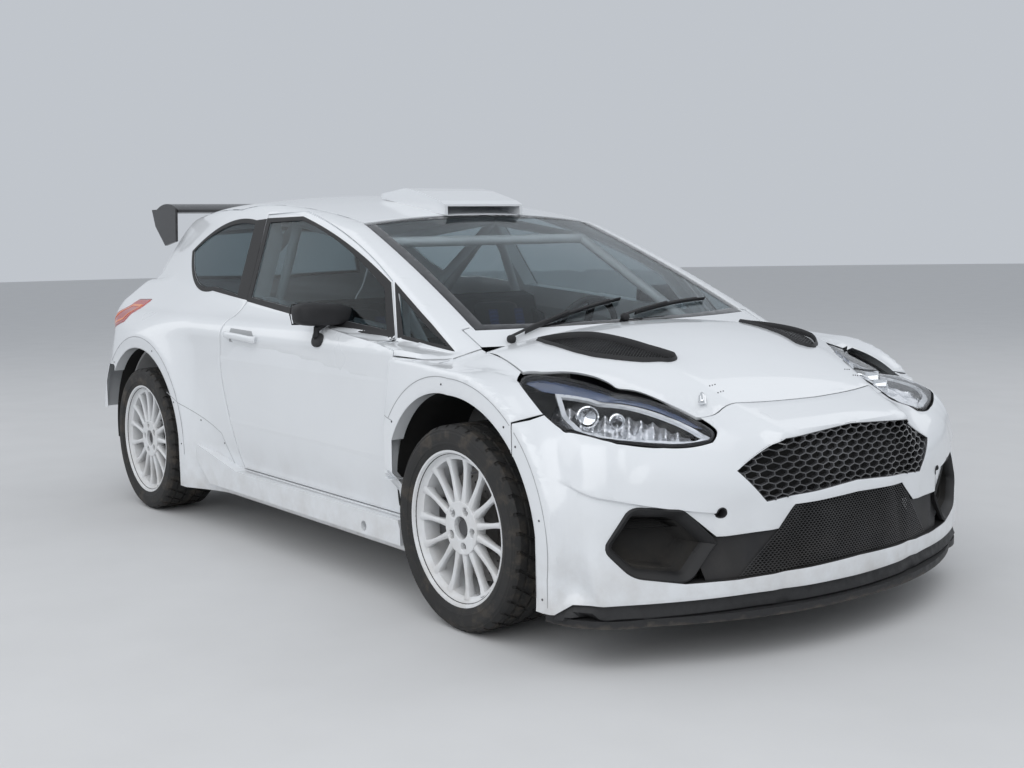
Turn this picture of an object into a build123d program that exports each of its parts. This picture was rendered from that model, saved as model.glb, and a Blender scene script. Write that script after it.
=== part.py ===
from build123d import *
import math
import os

# Three-door rally hatchback on tarmac wheels: +X forward, +Y left, +Z up, in millimetres.
# The origin is on the ground, at the middle of the car's length and width.

# Driving sizes
LENGTH = 4064.0
WIDTH = 1820.0
HEIGHT = 1416.0
TYRE_R = 322.5
TYRE_W = 235.0

# The outlines are drawn for these sizes and stretched to the ones above
DRAWN_LENGTH = 4064.0
DRAWN_WIDTH = 1820.0
DRAWN_HEIGHT = 1416.0
SX = LENGTH / DRAWN_LENGTH
SY = WIDTH / DRAWN_WIDTH
SZ = HEIGHT / DRAWN_HEIGHT

# Wheel places
FRONT_AXLE_X = 1187.0 * SX
REAR_AXLE_X = -1306.0 * SX
WHEEL_Y = 785.0 * SY
ARCH_CLEARANCE = 95.0

# Panels
GAP = 5.0
SKIN_T = 12.0
LID_T = 22.0
FRAME_T = 48.0
DOOR_T = 72.0
DOOR_FLANGE_T = 24.0
DOOR_STEP = 22.0
GLASS_T = 5.0
GLASS_FIT = 1.0
GRILLE_LAP = 6.0
FLARE_Y = 910.0
FLARE_WALL_Y = 872.0

# Floor, drawn and then stretched with the outlines
FLOOR = 150.0
FLOOR_T = 16.0
FLOOR_TOP = FLOOR + FLOOR_T

# A wheel opening: its shoulders and its reach to each side, as shares of its radius
ARCH_SHOULDER_X = 0.68
ARCH_SHOULDER_Z = 0.745
ARCH_LEG_DROP = 60.0
FRONT_ARCH_REACH = (1.01, 0.80)
REAR_ARCH_REACH = (1.01, 0.995)

# The top of the car is one silhouette, turned about an axis far below the road
CROWN_Z = -2600.0
CROWN_ARC = 48.0

# The cabin sides lean in from their plan at waist height
LEAN = 0.45
WAIST_Z = 900.0
CABIN_DROP = 460.0
CABIN_REACH = 1400.0

# Shut lines, drawn and then stretched with the outlines
DOOR_FRONT = 800.0
WING_REAR = DOOR_FRONT + GAP
WING_FRONT = 1502.0
BONNET_REAR = 1072.0
ROOF_REAR = -1500.0
TAILGATE_CLEARANCE = 9.0
TAILGATE_FRONT = ROOF_REAR - TAILGATE_CLEARANCE
SIDE_REAR = -1715.0
SILL_TOP = 425.0
PILLAR_FRONT = 1041.0
PILLAR_FOOT = 828.0
BULKHEAD_X = 795.0
BOTTOM = 148.0

# Rims, brakes and hubs, measured from the wheel's middle plane
RIM_R = 242.0
BEAD_R = 229.0
RIM_WALL = 12.0
RIM_HALF_W = 101.5
FLANGE_T = 8.0
SPOKES = 15
SPOKE_W = 20.0
SPOKE_FACE = 89.0
SPOKE_BACK = 60.0
HUB_R = 84.0
HUB_FACE = 84.0
HUB_BACK = 50.0
LUGS = 5
LUG_CIRCLE_R = 57.0
LUG_HOLE_R = 13.0
DISC_R = 177.0
DISC_BACK = -17.0
DISC_FACE = 11.0
BELL_R = 88.0
BELL_WALL = 8.0
SPINDLE_R = 24.0
SPINDLE_PLAY = 6.0
HUB_BORE_R = SPINDLE_R + SPINDLE_PLAY
CALIPER_GAP = 8.0
CALIPER_LIP = 18.0
CALIPER_DEPTH = 59.0
CARRIER = ((-45, -95, -60), (45, -40, 60))

# Steering: each kingpin leans in and back, from the lower ball joint to the strut's top
KINGPIN_FOOT = (6.0, -50.0, 200.0 - TYRE_R)
KINGPIN_TOP = (-14.0, -206.0, 768.0 - TYRE_R)
STRUT_R = 24.0
SPRING_R = 55.0
SPRING_SHARE = 0.81
PIN_R = 10.0
PIN_PLAY = 5.0
EYE_R = 25.0
EYE_T = 16.0
STRUT_STANDOFF = 24.0
RAIL_Y = 500.0 * SY
HOUSE_Y = 562.0 * SY
HOUSE_T = 10.0
HOUSE_FIT = 4.0
ARM_R = 11.0
DAMPER_R = 24.0

# Steering wheel on the left, with its column
WHEEL_CENTRE = (330.0 * SX, 360.0 * SY, 805.0 * SZ)
COLUMN_TILT = 20.0
STEERING_RING_R = 156.0
STEERING_GRIP_R = 14.0
SHAFT_R = 14.0
SHAFT_L = 200.0
SHROUD_START = 140.0
SHROUD_L = 130.0
SHROUD_WALL = 8.0
SHAFT_PLAY = 6.0

# Wipers
WIPER_GAP = 6.0
WIPER_TOP = 18.0

# Roll cage and exhaust
TUBE_R = 20.0
PIPE_R = 28.0
SILENCER_R = 62.0

# Sockets for a jack and for towing eyes
JACK_R = 18.0
JACK_X = 620.0 * SX
JACK_Z = 237.0 * SZ
JACK_L = 50.0
SKIRT_Y = 885.0 * SY
TOW_R = 9.0
TOW_WALL = 9.0
TOW_L = 70.0
FRONT_TOW = (1938.0 * SX, -496.0 * SY, 434.0 * SZ)
REAR_TOW = (-2005.0 * SX, -430.0 * SY, 420.0 * SZ)

parts = {}


def stretched(points, first, second):
    """Outline points drawn in millimetres, stretched to the driving sizes."""
    return [tuple(v * (first, second)[i % 2] for i, v in enumerate(point)) for point in points]


def side_points(*points):
    """An outline in x and z. A point of four numbers is an arc's middle and end."""
    return stretched(points, SX, SZ)


def plan_points(*points):
    """An outline in x and y."""
    return stretched(points, SX, SY)


def front_points(*points):
    """An outline in y and z."""
    return stretched(points, SY, SZ)


def whole(points, across):
    """Both halves of an outline drawn from the middle line and back; across is the number that flips."""

    def flipped(pair):
        return tuple(-v if i == across else v for i, v in enumerate(pair))

    full = list(points)
    for index in range(len(points) - 1, 0, -1):
        target = flipped(points[index - 1][-2:])
        full.append(flipped(points[index][:2]) + target if len(points[index]) == 4 else target)
    return full


def segments(points):
    """The closed outline as (start, arc middle or None, end), in complex numbers."""
    spans = []
    here = complex(*points[0][-2:])
    first = here
    for point in points[1:]:
        end = complex(*point[-2:])
        spans.append((here, complex(*point[:2]) if len(point) == 4 else None, end))
        here = end
    if abs(here - first) > 1e-6:
        spans.append((here, None, first))
    return spans


def left_normals(start, middle, end):
    """Unit normals to the left of travel, at a span's start, middle and end."""
    if middle is None:
        normal = 1j * (end - start) / abs(end - start)
        return normal, normal, normal
    a, b = middle - start, end - start
    cross = (a.conjugate() * b).imag
    centre = start + 1j * (abs(a) ** 2 * b - abs(b) ** 2 * a) / (-2 * cross)
    turn = 1 if cross > 0 else -1
    return tuple(turn * (centre - p) / abs(centre - p) for p in (start, middle, end))


def grown(points, by):
    """The outline moved outwards everywhere, with mitred corners."""
    spans = segments(points)
    normals = [left_normals(*span) for span in spans]
    area = sum((a.conjugate() * c).imag for a, b, c in spans)
    step = -by if area > 0 else by
    corners = []
    for index, span in enumerate(spans):
        before, after = normals[index - 1][2], normals[index][0]
        share = (before + after) / (1 + (before * after.conjugate()).real)
        corners.append(span[0] + step * share)
    moved = [(corners[0].real, corners[0].imag)]
    for index, (start, middle, end) in enumerate(spans):
        corner = corners[(index + 1) % len(spans)]
        point = (corner.real, corner.imag)
        if middle is not None:
            middle += step * normals[index][1]
            point = (middle.real, middle.imag) + point
        moved.append(point)
    return moved


def face_of(points):
    edges = []
    for start, middle, end in segments(points):
        a, b = (start.real, start.imag), (end.real, end.imag)
        edges.append(Line(a, b) if middle is None else ThreePointArc(a, (middle.real, middle.imag), b))
    return make_face(edges)


def side_prism(points, low_y, high_y):
    """An outline in x and z, extruded across the car."""
    return extrude(Plane.XZ.offset(-high_y * SY) * face_of(points), amount=(high_y - low_y) * SY)


def plan_prism(points, low_z, high_z):
    """An outline in x and y, extruded upwards."""
    return extrude(Plane.XY.offset(low_z * SZ) * face_of(points), amount=(high_z - low_z) * SZ)


def front_prism(points, low_x, high_x):
    """An outline in y and z, extruded forwards."""
    return extrude(Plane.YZ.offset(low_x * SX) * face_of(points), amount=(high_x - low_x) * SX)


def box_between(low, high):
    size = [b - a for a, b in zip(low, high)]
    return Pos(*[(a + b) / 2 for a, b in zip(low, high)]) * Box(*size)


def block(low, high):
    """A block between two drawn corners, stretched with the outlines."""
    return box_between(stretch(low), stretch(high))


def stretch(point):
    return (point[0] * SX, point[1] * SY, point[2] * SZ)


def rod(start, end, radius):
    a, b = Vector(*start), Vector(*end)
    return extrude(Plane(a, z_dir=b - a) * Circle(radius), amount=(b - a).length)


def mirrored(shape):
    return mirror(shape, about=Plane.XZ)


def both(shape):
    """The left piece and its mirror image on the right."""
    return shape + mirrored(shape)


def cross_cylinder(radius, low_y, high_y, x, z):
    """A cylinder along y."""
    return rod((x, low_y, z), (x, high_y, z), radius)


# Body volume, from which the outer panels are cut


def crowned_top(inset):
    """The silhouette from nose to tail, turned about the crown's axis."""
    silhouette = side_points(
        (2092, 100),
        (2006, 440),
        (1974, 654),
        (1820, 715),
        (1520, 848, 1060, 910),
        (620, 1112, 139, 1300),
        (-560, 1396, -1500, 1352),
        (-1545, 1340),
        (-1585, 1312),
        (-1725, 1165, -1840, 1000),
        (-1915, 940),
        (-1940, 760),
        (-2016, 640),
        (-2032, 480),
        (-2032, -100),
        (2092, -100),
    )
    axis = Axis((0, 0, CROWN_Z), (1, 0, 0))
    face = Plane.XZ * face_of(grown(silhouette, -inset))
    return revolve(face.rotate(axis, -CROWN_ARC / 2), axis=axis, revolution_arc=CROWN_ARC)


def cabin_sides(inset):
    """The space between the two leaning cabin sides, each drawn across its own direction of lean."""
    lean = Vector(0, -LEAN * SY / SZ, 1).normalized()
    plan = plan_points(
        (2300, -2000), (2300, 540), (1100, 712), (-150, 782, -1900, 650), (-2300, 560), (-2300, -2000)
    )
    side = []
    for point in plan:
        side.append(tuple(v * lean.Z - inset if i % 2 and v > 0 else v for i, v in enumerate(point)))
    base = Plane((0, 0, WAIST_Z * SZ), x_dir=(1, 0, 0), z_dir=lean).offset(-CABIN_DROP * SZ)
    wedge = extrude(base * face_of(side), amount=CABIN_REACH * SZ)
    return wedge & mirrored(wedge)


def lower_sides(inset):
    """The body's plan, with a round nose and tail, within its own cross-section."""
    plan = whole(
        plan_points(
            (2016, 0),
            (1950, 430, 1800, 782),
            (1752, 845, 1640, 862),
            (1200, 864),
            (-1500, 864),
            (-1700, 850, -1812, 780),
            (-1980, 480, -2047, 0),
        ),
        1,
    )
    section = whole(
        front_points(
            (0, 60),
            (800, 60),
            (822, 200),
            (838, 300),
            (868, 560, 858, 800),
            (848, 868, 800, 905),
            (640, 1045),
            (0, 1045),
        ),
        0,
    )
    return plan_prism(grown(plan, -inset), 40, 1220) & front_prism(grown(section, -inset), -2250, 2250)


BELT = side_points((1010, 838), (-540, 966))


def belt_z(x):
    (front_x, front_z), (rear_x, rear_z) = BELT
    return front_z + (x * SX - front_x) * (rear_z - front_z) / (rear_x - front_x)


def body_volume(inset):
    """Everything inside the outer skin, taken in by the inset."""
    below_belt = [
        (2200 * SX, 0),
        (2200 * SX, 1200 * SZ),
        (BELT[0][0], 1200 * SZ),
        (BELT[0][0], BELT[0][1] - inset),
        (-1500 * SX, belt_z(-1500) - inset),
        (-2200 * SX, 1010 * SZ - inset),
        (-2200 * SX, 0),
    ]
    sides = (lower_sides(inset) & side_prism(below_belt, -1000, 1000)) + cabin_sides(inset)
    above_floor = box_between((-LENGTH, -WIDTH, FLOOR * SZ + inset), (LENGTH, WIDTH, HEIGHT * 2))
    return crowned_top(inset) & sides & above_floor


# Outlines of panels and openings


def arch_outline(axle_x, reach):
    """A wheel opening: round over the tyre, open at the bottom. Reach is to the front, then to the rear."""
    radius = TYRE_R + ARCH_CLEARANCE
    front_x, rear_x = axle_x + radius * reach[0], axle_x - radius * reach[1]
    shoulder_x, shoulder_z = radius * ARCH_SHOULDER_X, TYRE_R + radius * ARCH_SHOULDER_Z
    leg_z = TYRE_R - ARCH_LEG_DROP
    return [
        (rear_x, 0),
        (rear_x, leg_z),
        (axle_x - shoulder_x, shoulder_z, axle_x, TYRE_R + radius),
        (axle_x + shoulder_x, shoulder_z, front_x, leg_z),
        (front_x, 0),
    ]


def front_arch():
    return arch_outline(FRONT_AXLE_X, FRONT_ARCH_REACH)


def rear_arch():
    return arch_outline(REAR_AXLE_X, REAR_ARCH_REACH)


def steered_tyre_space():
    """The room that a front tyre sweeps at the sill as it steers, inside the flare's outer wall."""
    share = -KINGPIN_FOOT[2] / (KINGPIN_TOP[2] - KINGPIN_FOOT[2])
    pivot_x, pivot_y = (foot + (top - foot) * share for foot, top in zip(KINGPIN_FOOT[:2], KINGPIN_TOP[:2]))
    swing_r = math.hypot(TYRE_R + pivot_x, TYRE_W / 2 - pivot_y)
    x, y = FRONT_AXLE_X + pivot_x, WHEEL_Y + pivot_y
    column = rod((x, y, 0), (x, y, SILL_TOP * SZ), swing_r)
    return column & box_between((0, 0, 0), (LENGTH, FLARE_WALL_Y * SY, HEIGHT))


def door_outline():
    return side_points(
        (DOOR_FRONT, 300),
        (DOOR_FRONT, 846),
        (676, 866),
        (535, 1062),
        (200, 1203, -270, 1324),
        (-590, 1318),
        (-492, 966),
        (-528, 780, -482, 560),
        (-385, 300),
    )


def door_window_outline():
    return side_points(
        (606, 900),
        (508, 1038),
        (196, 1170, -262, 1292),
        (-548, 1288),
        (-464, 984),
    )


def front_quarter_outline():
    return side_points((985, 852), (700, 884), (590, 1036), (840, 916))


def rear_quarter_outline():
    return side_points((-610, 990), (-692, 1282), (-1090, 1258, -1330, 1168), (-1190, 1062, -900, 1018))


def bonnet_outline():
    side = plan_points((1330, 728), (1610, 640), (1764, 470), (1801, 240, 1814, 0))
    return whole(plan_points((BONNET_REAR, 0), (BONNET_REAR, 676)) + side, 1)


def cowl_outline():
    front = BONNET_REAR - GAP
    return plan_points((front, -666), (front, 666), (930, 666), (930, -666))


def lamp_outline():
    return plan_points(
        (1338, 742), (1614, 652), (1776, 482), (1866, 440), (1856, 560), (1722, 738), (1524, 806)
    )


def screen_outline():
    return whole(plan_points((1058, 0), (1030, 330, 948, 630), (112, 545), (132, 270, 140, 0)), 1)


def roof_outline():
    half = plan_points((134, 0), (126, 270, 104, 536), (-900, 556), (ROOF_REAR, 500), (ROOF_REAR, 0))
    return whole(half, 1)


def tailgate_outline():
    half = front_points((0, 1440), (548, 1440), (560, 1200), (590, 1000), (588, 780), (560, 655), (0, 655))
    return whole(half, 0)


def tailgate_depth():
    """The side view of what opens at the back: a layer behind a line that runs down from the roof."""
    return side_points(
        (TAILGATE_FRONT, 1440),
        (TAILGATE_FRONT, 1330),
        (-1655, 1165),
        (-1770, 1000),
        (-1850, 925),
        (-1872, 760),
        (-1935, 600),
        (-2100, 600),
        (-2100, 1440),
    )


def rear_screen_outline():
    return whole(front_points((0, 1285), (440, 1262), (556, 1030), (0, 1012)), 0)


def upper_grille_outline():
    return whole(front_points((0, 640), (280, 622), (440, 545), (355, 455), (300, 470), (0, 476)), 0)


def lower_grille_outline():
    return whole(front_points((0, 440), (250, 432), (440, 238), (0, 250)), 0)


def pod_outline():
    return front_points((468, 240), (512, 366), (606, 452), (735, 466), (812, 350), (740, 266), (600, 240))


def vent_outline():
    """A bonnet vent: pointed at the rear, blunt at the front."""
    return plan_points((1130, 520), (1330, 385), (1560, 330), (1585, 350, 1560, 392), (1350, 480))


def tail_lamp_outline():
    return side_points((-1490, 950), (-1640, 946), (-1775, 838), (-1752, 800), (-1560, 846))


# Outer panels

volume = {inset: body_volume(inset) for inset in (0, GLASS_T, SKIN_T, LID_T, DOOR_FLANGE_T, FRAME_T, DOOR_T)}
left_half = box_between((-LENGTH, 0, 0), (LENGTH, WIDTH, HEIGHT * 2))


def skin(thickness, zone):
    return (volume[0] & zone) - volume[thickness]


def band(outer, inner, zone):
    """The layer between two depths under the outer skin."""
    return (volume[outer] & zone) - volume[inner]


def gap_cut(points, prism, low, high):
    return prism(grown(points, GAP), low, high)


bonnet_gap = gap_cut(bonnet_outline(), plan_prism, 560, 1000)
cowl_gap = gap_cut(cowl_outline(), plan_prism, 780, 1000)
lamp_gap = both(gap_cut(lamp_outline(), plan_prism, 560, 900))
door_gap = gap_cut(door_outline(), side_prism, 400, 1000)
screen_gap = plan_prism(grown(screen_outline(), GLASS_FIT), 780, 1400)
roof_gap = plan_prism(grown(roof_outline(), GLASS_FIT), 1200, 1450)
tail_gap = front_prism(grown(tailgate_outline(), GAP), -2100, ROOF_REAR)
tail_gap &= side_prism(grown(tailgate_depth(), TAILGATE_CLEARANCE), -1000, 1000)
tail_lamp_gap = side_prism(grown(tail_lamp_outline(), GLASS_FIT), 650, 1000)
arches = both(side_prism(front_arch(), 400, 1000) + side_prism(rear_arch(), 400, 1000) + steered_tyre_space())

parts["roof_panel"] = skin(LID_T, plan_prism(roof_outline(), 1200, 1450))
parts["windscreen"] = skin(GLASS_T, plan_prism(screen_outline(), 860, 1400))
parts["cowl_panel"] = skin(SKIN_T, plan_prism(cowl_outline(), 860, 1000)) - screen_gap

vents = both(plan_prism(vent_outline(), 600, 1000))
parts["bonnet"] = skin(LID_T, plan_prism(bonnet_outline(), 600, 1000)) - vents
vent_inserts = both(plan_prism(grown(vent_outline(), -GLASS_FIT), 600, 1000))
parts["bonnet_vents"] = band(GLASS_T, SKIN_T, vent_inserts)


def make_front_wing():
    low = SILL_TOP + GAP
    zone = block((WING_REAR, 560, low), (WING_FRONT, 1000, 1000))
    flare = side_points((WING_REAR, low), (WING_REAR, 826), (1180, 812, WING_FRONT, 700), (WING_FRONT, low))
    wing = skin(SKIN_T, zone) + (side_prism(flare, 806, FLARE_Y) - volume[SKIN_T])
    pillar_foot = block((700, 0, PILLAR_FOOT), (PILLAR_FRONT + GAP, 1000, 1200))
    return wing - bonnet_gap - cowl_gap - lamp_gap - arches - pillar_foot


def make_front_bumper():
    rear = WING_FRONT + GAP
    zone = block((rear, -1000, BOTTOM), (2040, 1000, 800))
    corner = side_prism(side_points((rear, BOTTOM), (rear, 690), (1650, 560, 1700, BOTTOM)), 800, FLARE_Y - 4)
    bumper = skin(SKIN_T, zone) + both(corner - volume[SKIN_T])
    bumper = bumper - bonnet_gap - lamp_gap - arches
    for mouth in (upper_grille_outline(), lower_grille_outline()):
        bumper -= front_prism(mouth, 1700, 2040)
    bumper -= both(front_prism(pod_outline(), 1640, 2040))
    inner = (FRONT_TOW[0] - TOW_L, FRONT_TOW[1], FRONT_TOW[2])
    tube = rod(inner, FRONT_TOW, TOW_R + TOW_WALL)
    return bumper + tube - rod(inner, (FRONT_TOW[0] + 100, *FRONT_TOW[1:]), TOW_R)


bumper_room = block((-2100, 0, 0), (SIDE_REAR, 1000, 640))


def make_side_frame():
    frame = skin(FRAME_T, left_half)
    behind_door = side_prism(side_points((-612, 1326), (-512, 966), (-470, 966), (-560, 1326)), 400, 1000)
    frame = frame - door_gap - behind_door - arches - bumper_room
    frame = frame - roof_gap - screen_gap - tail_gap - cowl_gap - tail_lamp_gap
    frame -= block((WING_REAR, 0, SILL_TOP), (2100, 1000, PILLAR_FOOT))
    frame -= block((PILLAR_FRONT, 0, 0), (2100, 1000, 1500))
    frame -= block((-2100, 0, 0), (1100, 790, 300))
    for window in (front_quarter_outline(), rear_quarter_outline()):
        frame -= side_prism(window, 400, 1000)
    return frame


def make_rear_flare():
    """A blister over the rear wheel, seated on the side."""
    front, rear = [(-560, 400), (-900, 720, -1100, 822)], [(-1640, 800, -1752, 640), (-1752, 400)]
    side = side_points(*front, (-1500, 826), *rear)
    return side_prism(side, 800, FLARE_Y) - volume[0] - arches - bumper_room - tail_lamp_gap


def make_door():
    zone = side_prism(door_outline(), 400, 1000)
    inner_zone = side_prism(grown(door_outline(), -DOOR_STEP), 400, 1000)
    door = (skin(DOOR_FLANGE_T, zone) + band(SKIN_T, DOOR_T, inner_zone)) & left_half
    under_roof = gap_cut(roof_outline(), plan_prism, 1150, 1450)
    return door - cabin_sides(DOOR_T) - side_prism(door_window_outline(), 400, 1000) - under_roof


def pane(points):
    """Glass that fills a side window."""
    return skin(GLASS_T, side_prism(grown(points, -GLASS_FIT), 400, 1000) & left_half)


wing = make_front_wing()
frame = make_side_frame()
flare = make_rear_flare()
door = make_door()
door_pane = pane(door_window_outline())
parts["front_wing_left"] = wing
parts["front_wing_right"] = mirrored(wing)
parts["front_bumper"] = make_front_bumper()
parts["side_frame_left"] = frame
parts["side_frame_right"] = mirrored(frame)
parts["rear_flare_left"] = flare
parts["rear_flare_right"] = mirrored(flare)
parts["quarter_windows"] = both(pane(front_quarter_outline()) + pane(rear_quarter_outline()))
parts["door_left"] = door
parts["door_right"] = mirrored(door)
parts["door_window_left"] = door_pane
parts["door_window_right"] = mirrored(door_pane)

tail_zone = front_prism(tailgate_outline(), -2100, TAILGATE_FRONT) & side_prism(tailgate_depth(), -1000, 1000)
screen_hole = front_prism(rear_screen_outline(), -2100, ROOF_REAR)
parts["tailgate"] = skin(LID_T, tail_zone) - screen_hole
parts["rear_screen"] = skin(GLASS_T, front_prism(grown(rear_screen_outline(), -GLASS_FIT), -2100, ROOF_REAR))
parts["headlamps"] = skin(FRAME_T, both(plan_prism(lamp_outline(), 560, 900)))
parts["tail_lamps"] = skin(FRAME_T, both(side_prism(tail_lamp_outline(), 650, 1000)))
for name, mouth in (("upper_grille", upper_grille_outline()), ("lower_grille", lower_grille_outline())):
    parts[name] = band(SKIN_T, LID_T, front_prism(grown(mouth, GRILLE_LAP), 1700, 2040))
parts["intake_pods"] = band(SKIN_T, LID_T, both(front_prism(grown(pod_outline(), GRILLE_LAP), 1640, 2040)))


def make_rear_bumper():
    """High at the sides, lower between the wheels."""
    front = SIDE_REAR - GAP
    zone = block((-2100, -1000, 425), (front, 1000, 640 - GAP)) + block((-2100, -560, 300), (front, 560, 430))
    bumper = skin(SKIN_T, zone) - arches
    inner = (REAR_TOW[0] + TOW_L, REAR_TOW[1], REAR_TOW[2])
    tube = rod(inner, REAR_TOW, TOW_R + TOW_WALL)
    return bumper + tube - rod(inner, (REAR_TOW[0] - 100, *REAR_TOW[1:]), TOW_R)


parts["rear_bumper"] = make_rear_bumper()


def make_splitter():
    half = plan_points((2032, 0), (1968, 430, 1840, 700), (1760, 830, 1630, 880), (1612, 880), (1612, 0))
    plan = whole(half, 1)
    return plan_prism(plan, BOTTOM - 22, BOTTOM)


def make_sump_guard():
    return block((760, -430, BOTTOM - 10), (1610, 430, BOTTOM))


parts["front_splitter"] = make_splitter()
parts["sump_guard"] = make_sump_guard()


def make_skirts():
    side = side_points((-850, 363), (-760, 363), (-380, 292), (852, 292), (852, 208), (-640, 208))
    skirt = box_between((-LENGTH, 800 * SY, 0), (LENGTH, SKIRT_Y, HEIGHT)) & side_prism(side, 800, 1000)
    jack_hole = rod((JACK_X, SKIRT_Y + GAP, JACK_Z), (JACK_X, SKIRT_Y - JACK_L, JACK_Z), JACK_R)
    return skirt - volume[0] - arches - jack_hole


parts["side_skirts"] = both(make_skirts())

# Roof scoop, rear wing, wipers


def make_scoop():
    side = side_points(
        (141, 1300), (141, 1342), (104, 1358), (-60, 1402), (-150, 1416), (-330, 1400), (-330, 1380)
    )
    scoop = side_prism(side, -192, 192) - volume[0]
    mouth = side_prism(side_points((150, 1270), (150, 1332), (96, 1346), (-90, 1392), (-90, 1340)), -178, 178)
    return scoop - mouth


def make_rear_wing():
    plane = side_points(
        (-1536, 1352), (-1545, 1366), (-1640, 1394, -1800, 1374), (-1832, 1364), (-1800, 1352)
    )
    wing = side_prism(plane, -584, 584) - volume[0]
    plate = side_points(
        (-1548, 1352), (-1556, 1372), (-1836, 1372), (-1800, 1290), (-1690, 1196), (-1560, 1216)
    )
    return wing + both(side_prism(plate, 584, 596) - volume[0])


def make_wipers():
    """Two arms a little above the glass, each with a foot on it."""
    above = crowned_top(-WIPER_TOP)
    arms = None
    for pivot_y, tip_y in ((420, -100), (-60, -560)):
        arm = plan_points((1012, pivot_y + 10), (1026, pivot_y - 10), (985, tip_y), (970, tip_y))
        near_y, far_y = pivot_y + 10, pivot_y - 12
        foot = plan_points((1008, near_y), (1008, far_y), (1032, far_y), (1032, near_y))
        piece = above & plan_prism(arm, 860, 1100)
        piece = (piece - crowned_top(-WIPER_GAP)) + ((above & plan_prism(foot, 860, 1100)) - volume[0])
        arms = piece if arms is None else arms + piece
    return arms


parts["roof_scoop"] = make_scoop()
parts["rear_wing"] = make_rear_wing()
parts["wipers"] = make_wipers()


def make_mirror():
    head = block((238, 716, 906), (338, 942, 988))
    head = fillet(head.edges(), 26)
    stalk = rod(stretch((285, 816, 838)), stretch((288, 832, 918)), 14)
    return (head + stalk) - volume[0]


mirror_left = make_mirror()
parts["mirror_left"] = mirror_left
parts["mirror_right"] = mirrored(mirror_left)

# Floor, bulkhead and inner arches


def make_floor():
    house_r = TYRE_R + ARCH_CLEARANCE + HOUSE_FIT
    well_r = house_r + HOUSE_T
    floor = block((-1640, -784, FLOOR), (1500, 784, FLOOR_TOP))
    wells = block((BULKHEAD_X, 500, 0), (1620, 1000, 900))
    wells += box_between((REAR_AXLE_X - well_r, HOUSE_Y - HOUSE_T, 0), (REAR_AXLE_X + well_r, WIDTH, HEIGHT))
    tunnel = block((-1640, -92, FLOOR_TOP), (BULKHEAD_X, 92, 300)) - block((-1700, -80, 0), (900, 80, 288))
    floor = (floor - block((-1700, -80, 0), (BULKHEAD_X, 80, 288)) - both(wells)) + tunnel
    rails = block((BULKHEAD_X, 440, FLOOR_TOP), (1560, 500, 300))
    rails += block((BULKHEAD_X, 488, FLOOR_TOP), (1560, 500, 640))
    rails += block((1085, 488, FLOOR_TOP), (1260, 500, 802)) + block((1085, 500, 790), (1260, 640, 802))
    outer = cross_cylinder(house_r, HOUSE_Y - HOUSE_T, 806 * SY, REAR_AXLE_X, TYRE_R)
    inner = cross_cylinder(house_r - HOUSE_T, HOUSE_Y, 900 * SY, REAR_AXLE_X, TYRE_R)
    house = (outer - inner) & box_between((-LENGTH, 0, FLOOR * SZ), (LENGTH, WIDTH, HEIGHT))
    house -= frame
    cross = block((1500, -500, 200), (1560, 500, 300))
    return floor + both(rails) + both(house) + cross


def make_bulkhead():
    front = BULKHEAD_X + 12
    wall = side_points(
        (BULKHEAD_X, FLOOR_TOP), (BULKHEAD_X, 812), (1036, 812), (1036, 802), (front, 802), (front, FLOOR_TOP)
    )
    plate = side_prism(wall, -784, 784)
    shelf_end = block((812, 640, 700), (1100, 900, 900))
    rails = block((790, 436, 160), (820, 900, 302)) + block((790, 484, 160), (820, 504, 644))
    return plate - both(shelf_end) - both(rails)


parts["floor_pan"] = make_floor()
parts["bulkhead"] = make_bulkhead()


def tube_run(points):
    """A tube through points, with a ball at each bend."""
    run = None
    for start, end in zip(points, points[1:]):
        piece = rod(stretch(start), stretch(end), TUBE_R)
        run = piece if run is None else run + piece
        run += Pos(*stretch(end)) * Sphere(TUBE_R)
    return run


def make_cage():
    hoop_top = (-480, 505, 1286)
    header = (126, 520, 1196)
    hoop_foot = (-470, 650, FLOOR_TOP)
    front_foot = (760, 668, FLOOR_TOP)
    left = tube_run([hoop_foot, (-470, 640, 880), hoop_top])
    left += tube_run([front_foot, (760, 668, 780), header, hoop_top])
    left += tube_run([hoop_top, (-1290, 600, 745)])
    left += tube_run([(-470, 650, 560), (760, 668, 300)])
    cage = both(left)
    cage += tube_run([hoop_top, (-480, -505, 1286)]) + tube_run([header, (126, -520, 1196)])
    cage += tube_run([(-470, 640, 880), (-470, -640, 880)])
    cage += tube_run([hoop_top, (-470, -645, 300)])
    cage += tube_run([(-480, 500, 1286), (126, -515, 1196)])
    floor_clip = box_between((-LENGTH, -WIDTH, FLOOR_TOP * SZ), (LENGTH, WIDTH, HEIGHT * 2))
    return (cage & floor_clip) - parts["floor_pan"]


parts["roll_cage"] = make_cage()


def make_seats():
    shell = side_points(
        (190, 230),
        (206, 330),
        (180, 360),
        (-60, 300),
        (-190, 560),
        (-300, 940),
        (-380, 960),
        (-410, 930),
        (-300, 520),
        (-215, 250),
        (-150, 220),
    )
    seat = side_prism(shell, 130, 590)
    wings = side_points(
        (180, 240), (150, 420), (-40, 440), (-120, 640), (-230, 860), (-330, 900), (-260, 400), (-160, 240)
    )
    seat += side_prism(wings, 130, 160) + side_prism(wings, 560, 590)
    seat += block((-180, 180, FLOOR_TOP), (140, 540, 236))
    return both(seat)


parts["seats"] = make_seats()

column_dir = Vector(-math.cos(math.radians(COLUMN_TILT)), 0, math.sin(math.radians(COLUMN_TILT)))


def along_column(distance):
    """A point on the column, measured forwards from the steering wheel."""
    point = Vector(*WHEEL_CENTRE) - column_dir * distance
    return (point.X, point.Y, point.Z)


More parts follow.
